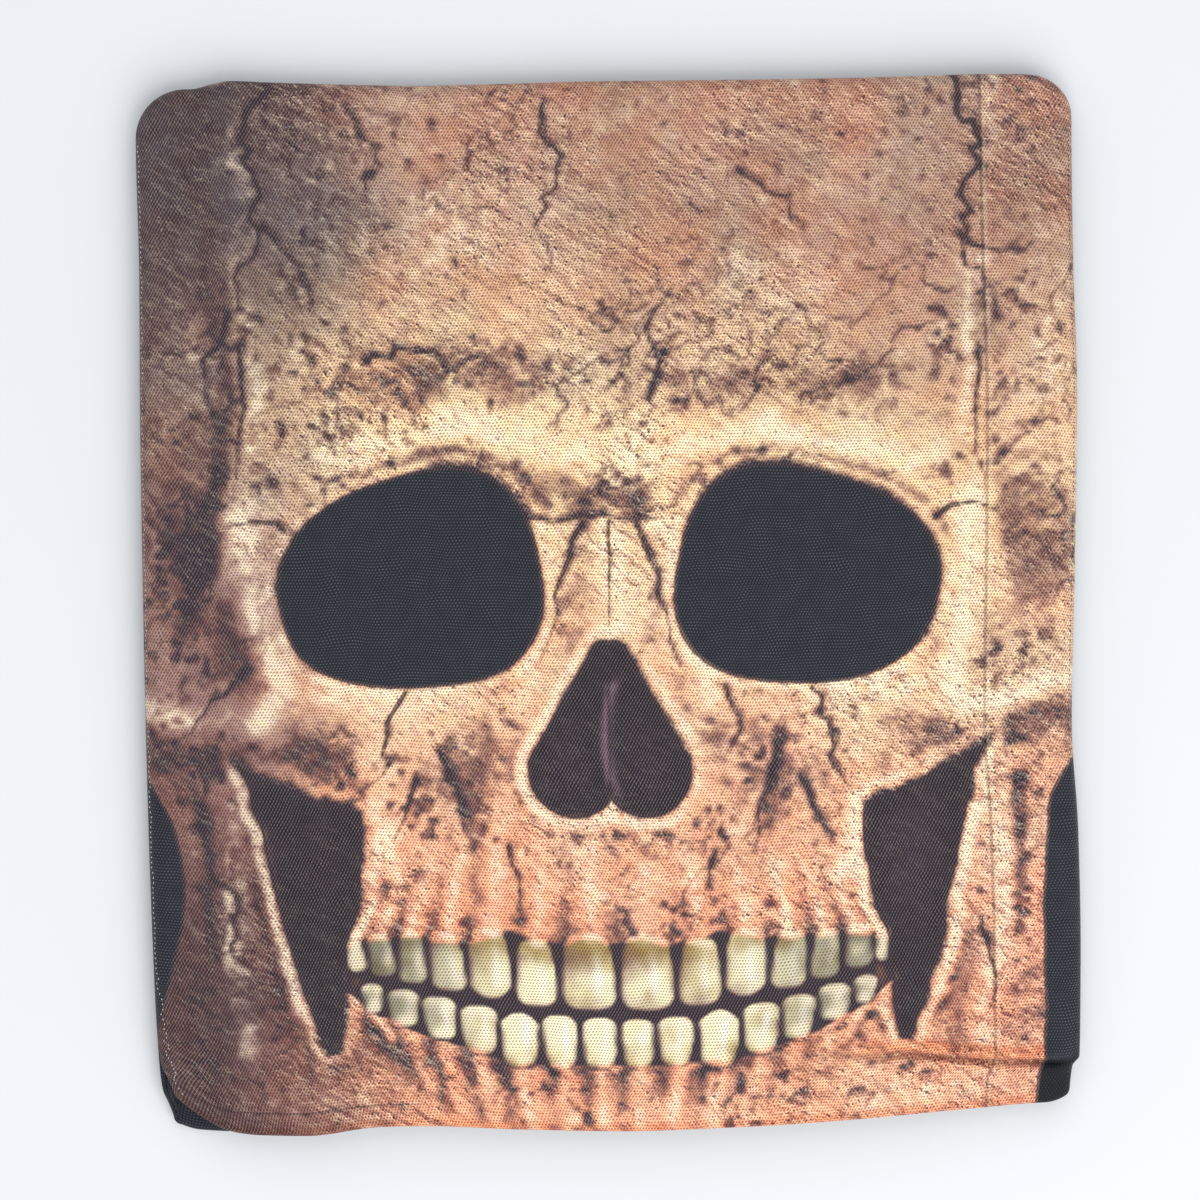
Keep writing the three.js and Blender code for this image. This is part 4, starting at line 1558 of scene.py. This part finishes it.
def edge_loop(rows: int, columns: int, first: int) -> Array:
    """A grid's outer points in order round it, from its first point along its first row."""
    number = first + np.arange(rows * columns).reshape(rows, columns)
    return np.concatenate([number[0, :-1], number[:-1, -1], number[-1, :0:-1], number[:0:-1, 0]])


def split_quads(quads: Array) -> Array:
    """Each quad as two triangles."""
    return np.concatenate([quads[:, [0, 1, 2]], quads[:, [0, 2, 3]]])


def ring_fan(sides: int) -> Array:
    """The triangles that close a ring of points, all from its first point."""
    ring = np.arange(sides)
    return np.stack([np.zeros(sides - 2, int), ring[1:-1], ring[2:]], axis=-1)


def shell_faces(rows: int, columns: int, coarse: int) -> Array:
    """The triangles of a closed wall between a fine outer grid and an inner one with every coarse-th line.

    At the rim each fine edge makes a triangle with the inner point behind it, and each inner edge makes one
    with the fine point it ends at.

    Args:
        rows, columns: the outer grid's.
        coarse: how many of its steps make one inner step.

    Returns: the triangles.
    """
    inner_rows, inner_columns = (rows - 1) // coarse + 1, (columns - 1) // coarse + 1
    first = rows * columns
    outer = split_quads(grid_faces(rows, columns, 0))
    inner = split_quads(grid_faces(inner_rows, inner_columns, first))[:, ::-1]
    fine, rim = edge_loop(rows, columns, 0), edge_loop(inner_rows, inner_columns, first)
    behind = rim[np.arange(len(fine)) // coarse]
    fans = np.stack([fine, behind, np.roll(fine, -1)], axis=-1)
    ends = np.roll(fine, -coarse)[::coarse]
    joins = np.stack([rim, np.roll(rim, -1), ends], axis=-1)
    return np.concatenate([outer, inner, fans, joins])


@dataclass
class Cloth:
    """What every cloth of the mask is cut and shaped with."""

    pattern: Pattern
    print_design: SkullPrint

    def fold_steps(self, radius: float, steps: int) -> Array:
        """Distances in from an edge, close where a fold is steep: 1 less the cosine of even angles."""
        return radius * (1.0 - np.cos(np.linspace(0.0, math.pi / 2, steps + 1)))

    def layer(self, side: Side, rows: Array, inset: Array, below: Array, steps: tuple[int, int],
              creased: bool = False) -> tuple[Array, ...]:
        """One layer of cloth on its panel.

        Args:
            side: which panel.
            rows: each row's place along.
            inset: how far each row lies inside the outer face.
            below: how far each row is moved down, for a turned edge.
            steps: each row's steps between its folds, and in each fold.
            creased: whether its rows run with the crease.

        Returns:
            The points, and their places across and along the pattern.
        """
        pattern = self.pattern
        depth = pattern.length - rows
        along = np.where(depth < pattern.crown_depth, rows - inset * (1 - depth / pattern.crown_depth), rows)
        left, right = (end[:, None] for end in pattern.row_ends(along, inset))
        radius = (pattern.fold_radius - inset)[:, None]
        fold = self.fold_steps(1.0, steps[1])[None, :] * radius
        share = np.linspace(0.0, 1.0, steps[0] + 1)[None, 1:-1]
        between = left + radius + share * (right - left - 2 * radius)
        across = np.concatenate([left + fold, between, (right - fold)[:, ::-1]], axis=1)
        along = np.broadcast_to(along[:, None], across.shape)
        if creased:
            along = along + pattern.hem_crease.follow(across, along)
        points = pattern.surface(side, across, along, inset[:, None])
        points[..., 1] -= below[:, None]
        return points, across, along

    def wall(self, name: str, material: Material, grids: tuple[tuple[Array, ...], ...], coarse: int,
             turned: bool) -> Piece:
        """Makes a closed and dressed wall of cloth from two layers.

        Args:
            name, material: the piece's name and finish.
            grids: the outer layer and the inner one, as layer gives them.
            coarse: how many outer columns make one inner step.
            turned: whether its outer layer faces down.

        Returns: the piece.
        """
        rows, columns = grids[0][1].shape
        points, across, along = (
            np.concatenate([part.reshape(-1, outer[0, 0].size) for part in (outer, inner[:, ::coarse])])
            for outer, inner in zip(*grids))
        faces = shell_faces(rows, columns, coarse)
        piece = mesh_object(name, points, faces[:, ::-1] if turned else faces, material)
        self.dress(piece, across.ravel(), along.ravel())
        return piece

    def dress(self, piece: Piece, across: Array, along: Array) -> None:
        """Carries the pattern map and the print, with the hem crease's painted shade, to a cloth's vertices.

        Args:
            piece: the cloth.
            across: each vertex's place across the pattern.
            along: each vertex's place along it.
        """
        u, v = self.pattern.unrolled(across, along)
        mesh, design, canvas = piece.data, self.print_design, self.print_design.canvas
        corner = np.empty(len(mesh.loops), dtype=np.int32)
        mesh.loops.foreach_get("vertex_index", corner)
        layer = mesh.uv_layers.new(name="pattern")
        layer.data.foreach_set("uv", np.stack([u, v], axis=-1)[corner].astype(np.float32).ravel())
        for name, values in (("ink", design.ink), ("line", design.line), ("hollow", design.hollow),
                             ("wear", design.wear)):
            attribute = mesh.attributes.new(name, "FLOAT", "POINT")
            attribute.data.foreach_set("value", canvas.read(values, u, v).astype(np.float32))
        # The print's colour, times the painted shade of the hem crease.
        tint = to_linear(canvas.read(design.tint, u, v)) * self.pattern.hem_crease.darkening(u, v)
        attribute = mesh.attributes.new("tint", "FLOAT_COLOR", "POINT")
        full = np.concatenate([tint, np.ones((len(tint), 1))], axis=-1)
        attribute.data.foreach_set("color", full.astype(np.float32).ravel())


@dataclass
class Panel:
    """One of the mask's two large cloths, from the neck edge to the crown."""

    cloth: Cloth
    side: Side
    neck_rows: int
    main_rows: int
    crown_rows: int
    steps: tuple[int, int]
    neck_spacing: Curve = Curve((0, 0.135, 0.4, 1), (0, 9.5, 18.5, 60))
    coarse: int = 6

    def build(self, name: str, material: Material) -> Piece:
        """Makes the cloth: a fine outer face and a plainer inner one, closed round the edge.

        Args:
            name, material: the piece's name and finish.

        Returns: the piece.
        """
        pattern = self.cloth.pattern
        crown = pattern.length - self.cloth.fold_steps(pattern.crown_depth, self.crown_rows)[::-1]
        rows = np.concatenate([
            self.neck_spacing.at(np.linspace(0.0, 1.0, self.neck_rows + 1))[:-1],
            np.linspace(self.neck_spacing.values[-1], crown[0], self.main_rows + 1)[:-1],
            crown,
        ])
        creased, still = self.side is Side.FACE, np.zeros(len(rows))
        outer = self.cloth.layer(self.side, rows, still, still, self.steps, creased)
        rows, still = rows[::self.coarse], still[::self.coarse]
        inner = self.cloth.layer(self.side, rows, still + pattern.cloth, still, self.steps, creased)
        return self.cloth.wall(name, material, (outer, inner), self.coarse, self.side is Side.BACK)


@dataclass
class TurnedHem:
    """A panel's neck edge, turned up inside over a round fold."""

    cloth: Cloth
    side: Side
    depth: float = 12.0
    bead: float = 1.15
    turn_steps: int = 8
    rise_steps: int = 24
    steps: tuple[int, int] = (200, 8)

    def build(self, name: str, material: Material) -> Piece:
        """Makes the hem: half a circle round the neck edge, then a band that follows the panel's inside.

        Args:
            name, material: the piece's name and finish.

        Returns: the piece.
        """
        cloth = self.cloth.pattern.cloth
        angle = np.linspace(0.0, math.pi, self.turn_steps + 1)
        rise = np.linspace(0.0, self.depth, self.rise_steps + 1)[1:]
        rows = np.concatenate([np.zeros(len(angle)), rise])

        def track(radius: float) -> tuple[Array, Array]:
            """Each row's inset and drop: the bead's middle less its radius times the cosine, and its sine."""
            inset = self.bead - radius * np.cos(angle)
            drop = radius * np.sin(angle)
            return (np.concatenate([inset, np.full(len(rise), inset[-1])]),
                    np.concatenate([drop, np.zeros(len(rise))]))

        run = -np.concatenate([self.bead * angle, self.bead * math.pi + rise])
        grids = []
        for radius in (self.bead, self.bead - cloth):
            points, across, _ = self.cloth.layer(self.side, rows, *track(radius), self.steps)
            grids.append((points, across, np.broadcast_to(run[:, None], across.shape)))
        return self.cloth.wall(name, material, tuple(grids), 1, self.side is Side.FACE)


@dataclass(frozen=True)
class Thread:
    """Short threads: each is a small arch, pointed into the cloth at both ends."""

    length: float
    radius: float
    stations: int = 7
    sides: int = 6
    arch: float = 0.9
    sunk: float = 0.5

    def build(self, name: str, middles: Array, runs: Array, lifts: Array,
              material: Material) -> Piece:
        """Makes many threads as one piece.

        Args:
            name: the piece's name.
            middles, runs, lifts: each thread's middle, and the ways it runs and arches out.
            material: its finish.

        Returns: the piece.
        """
        radius, stations, sides = self.radius, self.stations, self.sides
        share = np.linspace(-1.0, 1.0, stations)
        rise = radius * self.arch * (1.0 - share**2) - radius * self.sunk
        thick = radius * np.sqrt(np.clip(1.0 - share**4, 0.02, 1.0))
        across = np.cross(runs, lifts)
        spine = (middles[:, None] + runs[:, None] * (share * self.length / 2)[None, :, None]
                 + lifts[:, None] * rise[None, :, None])
        angle = np.linspace(0.0, 2 * math.pi, sides, endpoint=False)
        ring = (across[:, None, None] * np.cos(angle)[None, None, :, None]
                + lifts[:, None, None] * np.sin(angle)[None, None, :, None]) * thick[None, :, None, None]
        points = spine[:, :, None] + ring
        base = np.arange(len(points))[:, None, None] * stations * sides
        station = np.arange(stations - 1)[None, :, None] * sides
        turn = np.arange(sides)[None, None, :]
        after = (turn + 1) % sides
        here, ahead = base + station, base + station + sides
        walls = np.stack(np.broadcast_arrays(here + turn, here + after, ahead + after, ahead + turn), axis=-1)
        fan = ring_fan(sides)
        low = base + fan[None, :, ::-1]
        high = base + fan[None] + (stations - 1) * sides
        faces = np.concatenate([split_quads(walls.reshape(-1, 4)), low.reshape(-1, 3), high.reshape(-1, 3)])
        return mesh_object(name, points.reshape(-1, 3), faces[:, ::-1], material)


@dataclass
class SewnSeam:
    """The seam's two turned-in edges with their overlock thread, and the stitches that show outside."""

    cloth: Cloth
    ply: float = 0.9
    setback: float = 1.4
    allowance: float = 6.0
    hem_depth: float = 12.0
    strip_gap: float = 0.3
    strip_spacing: float = 2.5
    strip_sides: int = 16
    strip_power: int = 6
    strip_wave: float = 0.12
    loop_gap: float = 3.0
    loop_pitch: float = 2.6
    loop: Thread = Thread(length=5.0, radius=0.22)
    stitch: Thread = Thread(length=0.55, radius=0.13)
    stitch_pitch: float = 1.3

    def outline(self, inset: float, spacing: float, start: float) -> Array:
        """The sewn outline drawn in by inset: up the left side, over the crown and down the right side.

        Args:
            inset: how far in.
            spacing: the distance between its points.
            start: where along the sides it starts and ends.

        Returns: its points on the pattern.
        """
        pattern = self.cloth.pattern
        side, crown = pattern.width / 2 - inset, pattern.length - inset
        left, right = pattern.crown_left - inset, pattern.crown_right - inset

        def arc(x: float, y: float, radius: float, first: float) -> Array:
            """A quarter circle, clockwise from its first angle."""
            angle = np.linspace(first, first - math.pi / 2, max(int(radius * 1.57 / spacing), 3) + 1)
            return np.stack([x + radius * np.cos(angle), y + radius * np.sin(angle)], axis=-1)

        def run(begin: Pair, end: Pair) -> Array:
            """A straight run without its ends."""
            count = int(math.dist(begin, end) / spacing)
            return np.linspace(begin, end, count + 1)[1:-1]

        return np.concatenate([
            [[-side, start]], run((-side, start), (-side, crown - left)),
            arc(left - side, crown - left, left, math.pi), run((left - side, crown), (side - right, crown)),
            arc(side - right, crown - right, right, math.pi / 2),
            run((side, crown - right), (side, start)), [[side, start]],
        ])

    def strip(self, name: str, material: Material) -> Piece:
        """Makes the turned-in edges: a flat strip with rounded edges, its cross-section an oval of power 6.

        Args:
            name, material: the piece's name and finish.

        Returns: the piece.
        """
        pattern, start = self.cloth.pattern, self.hem_depth + self.strip_gap
        edge = pattern.cloth + self.setback
        path = self.outline(edge, self.strip_spacing, start)
        inside = self.outline(edge + self.allowance, self.strip_spacing, start)
        count = max(len(path), len(inside))
        path, inside = evenly(path, count), evenly(inside, count)
        sides, power = self.strip_sides, self.strip_power
        angle = np.linspace(0.0, 2 * math.pi, sides, endpoint=False)
        reach = (np.abs(np.cos(angle)) ** power + np.abs(np.sin(angle)) ** power) ** (-1 / power)
        wide, tall = reach * np.cos(angle), reach * np.sin(angle)
        share = (wide + 1.0) / 2.0
        spot = path[:, None] * (1 - share[None, :, None]) + inside[:, None] * share[None, :, None]
        wave = self.strip_wave * np.sin(np.arange(count) * 1.1)[:, None]
        height = pattern.seam_height + (self.ply - 0.15) * tall[None, :] + wave * share[None, :]
        points = pattern.place(spot[..., 0], spot[..., 1], height).reshape(-1, 3)
        ring = np.arange(sides)
        after = (ring + 1) % sides
        first = (np.arange(count - 1) * sides)[:, None]
        walls = np.stack([first + ring, first + after, first + sides + after, first + sides + ring], axis=-1)
        fan = ring_fan(sides)
        faces = np.concatenate([split_quads(walls.reshape(-1, 4)), fan[:, ::-1], fan + sides * (count - 1)])
        piece = mesh_object(name, points, faces[:, ::-1], material)
        self.cloth.dress(piece, spot[..., 0].ravel(), spot[..., 1].ravel())
        return piece

    def loops(self, name: str, material: Material) -> Piece:
        """Makes the overlock thread's loops: one across the turned-in edges' upper side for each pitch.

        Args:
            name, material: the piece's name and finish.

        Returns: the piece.
        """
        pattern, start = self.cloth.pattern, self.hem_depth + self.loop_gap
        near = self.outline(pattern.cloth + self.setback + 0.6, self.loop_pitch, start)
        far = self.outline(pattern.cloth + self.setback + self.allowance - 0.4, self.loop_pitch, start)
        count = min(len(near), len(far))
        ends = [points[np.linspace(0, len(points) - 1, count).astype(int)] for points in (near, far)]
        height = np.full(count, pattern.seam_height + self.ply)
        ends = [pattern.place(points[:, 0], points[:, 1], height) for points in ends]
        runs = (ends[1] - ends[0]) / np.linalg.norm(ends[1] - ends[0], axis=-1, keepdims=True)
        lifts = np.broadcast_to([0.0, 0.0, 1.0], runs.shape)
        return self.loop.build(name, (ends[0] + ends[1]) / 2, runs, lifts, material)

    def stitches(self, hand: int, name: str, material: Material) -> Piece:
        """Makes the row of stitches beside the face's left side, at hand -1, or its right side, at 1."""
        pattern = self.cloth.pattern
        along = np.arange(2.0, pattern.length - 14.0, self.stitch_pitch)
        inward = 1.2 + 0 * along
        if hand < 0:
            inward = Curve((0, 0.1, 0.16, 1), (3.4, 2.4, 1.0, 0.85)).at(along / pattern.length)
            inward += (0.35 + 0.6 * ease(42.0, 30.0, along)) * lattice(along, along * 0.0, 1.9, 90)
        spots = self.on_panel(Side.FACE, hand * (pattern.width / 2 - inward), along)
        return self.stitch.build(name, *spots, material)

    def on_panel(self, side: Side, across: Array, along: Array) -> tuple[Array, Array, Array]:
        """Points on a panel's outer face, with the directions along the pattern and out of the cloth.

        Args:
            side: which panel.
            across, along: places on the pattern.

        Returns: the points and both directions.
        """
        def spot(shift_across: float, shift_along: float) -> Array:
            """The surface point next to each place."""
            return self.cloth.pattern.surface(side, across + shift_across, along + shift_along, 0.0)

        here, near = spot(0.0, 0.0), 0.2
        right, up = spot(near, 0.0) - spot(-near, 0.0), spot(0.0, near) - spot(0.0, -near)
        up /= np.linalg.norm(up, axis=-1, keepdims=True)
        out = np.cross(right, up)
        out /= np.linalg.norm(out, axis=-1, keepdims=True)
        return here, up, out if side is Side.FACE else -out


@dataclass(frozen=True)
class SoftLight:
    """A square soft light that faces the mask: its place and its side in metres, and its power in watts."""

    name: str
    place: Vector3
    size: float
    power: float

    def hang(self) -> None:
        """Hangs it in the scene."""
        lamp = bpy.data.lights.new(self.name, "AREA")
        lamp.size = self.size
        lamp.energy = self.power
        holder = bpy.data.objects.new(self.name, lamp)
        holder.location = self.place
        holder.rotation_euler = Vector(self.place).to_track_quat("Z", "Y").to_euler()
        bpy.context.scene.collection.objects.link(holder)


@dataclass
class Studio:
    """The pale table, soft lights and a camera straight above."""

    frame_width: float = 0.3066
    lens: float = 105.0
    sensor: float = 36.0
    aim: Pair = (-0.0020, 0.0005)
    table_reach: float = 2500.0
    sky: Colour = (0.945, 0.965, 1.0)
    sky_strength: float = 0.65
    lights: tuple[SoftLight, ...] = (SoftLight("key", (0.42, -0.9, 1.2), 1.5, 23.5),
                                     SoftLight("fill", (-0.1, 1.0, 1.1), 1.8, 8.5))

    def build(self) -> None:
        """Sets the table, the lights, the sky and the camera."""
        scene = bpy.context.scene
        scene.view_settings.view_transform = "Standard"
        self.table()
        for light in self.lights:
            light.hang()
        world = bpy.data.worlds.new("pale_room")
        scene.world = world
        world.use_nodes = True
        sky = world.node_tree.nodes["Background"]
        sky.inputs["Color"].default_value = (*self.sky, 1.0)
        sky.inputs["Strength"].default_value = self.sky_strength
        lens = bpy.data.cameras.new("camera")
        lens.lens = self.lens
        lens.sensor_width = self.sensor
        camera = bpy.data.objects.new("camera", lens)
        camera.location = (*self.aim, self.frame_width * self.lens / self.sensor)
        scene.collection.objects.link(camera)
        scene.camera = camera

    def table(self) -> None:
        """Lays a wide flat table at floor height."""
        corners = np.array([[-1, -1, 0], [1, -1, 0], [1, 1, 0], [-1, 1, 0]], float) * self.table_reach
        floor = mesh_object("table", corners, np.array([[0, 1, 2, 3]]), Tabletop().material())


@dataclass
class SkullMask:
    """The whole mask: both panels, both hems, the sewn seam and the stitches."""

    cloth: Cloth
    pieces: list[Piece] = field(default_factory=list)

    def keep(self, piece: Piece, slot: str, *nodes: str) -> Piece:
        """Makes a piece part of the mask.

        Args:
            piece: the piece.
            slot: a material slot's name, which is not used.
            nodes: the plain solids that it stands for.

        Returns: the piece.
        """
        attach(piece, "root")
        if nodes:
            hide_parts(*nodes)
        self.pieces.append(piece)
        LOG.info("%s: %d faces", piece.name, len(piece.data.polygons))
        return piece

    def build(self) -> None:
        printed, black = PrintedKnit().material(), BlackKnit().material()
        pale = SpunThread("pale_thread", screen(206, 200, 196), screen(150, 142, 140)).material()
        dark = SpunThread("black_thread", screen(52, 54, 62), screen(24, 25, 30)).material()
        face = Panel(self.cloth, Side.FACE, neck_rows=96, main_rows=200, crown_rows=16,
                     steps=(264, 12)).build("printed_face", printed)
        back = Panel(self.cloth, Side.BACK, neck_rows=72, main_rows=84, crown_rows=12,
                     steps=(120, 12)).build("black_back", black)
        self.keep(face, "printed_mesh", "face_panel")
        self.keep(back, "black_mesh", "back_panel")
        face_hem = TurnedHem(self.cloth, Side.FACE).build("face_hem_turn", printed)
        back_hem = TurnedHem(self.cloth, Side.BACK).build("back_hem_turn", black)
        self.keep(face_hem, "black_hem", "face_hem")
        self.keep(back_hem, "black_hem", "back_hem")
        seam = SewnSeam(self.cloth)
        self.keep(seam.strip("turned_in_edges", black), "overlocked_edge", "seam_allowance")
        self.keep(seam.loops("overlock_loops", dark), "overlocked_edge")
        self.keep(seam.stitches(-1, "left_edge_stitches", pale), "overlocked_edge")
        self.keep(seam.stitches(1, "right_edge_stitches", dark), "overlocked_edge")


def main() -> None:
    """Builds the studio and the mask."""
    logging.basicConfig(level=logging.INFO, format="%(message)s")
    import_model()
    Studio().build()
    SkullMask(Cloth(Pattern(), SkullPrint())).build()


if __name__ == "__main__":
    main()
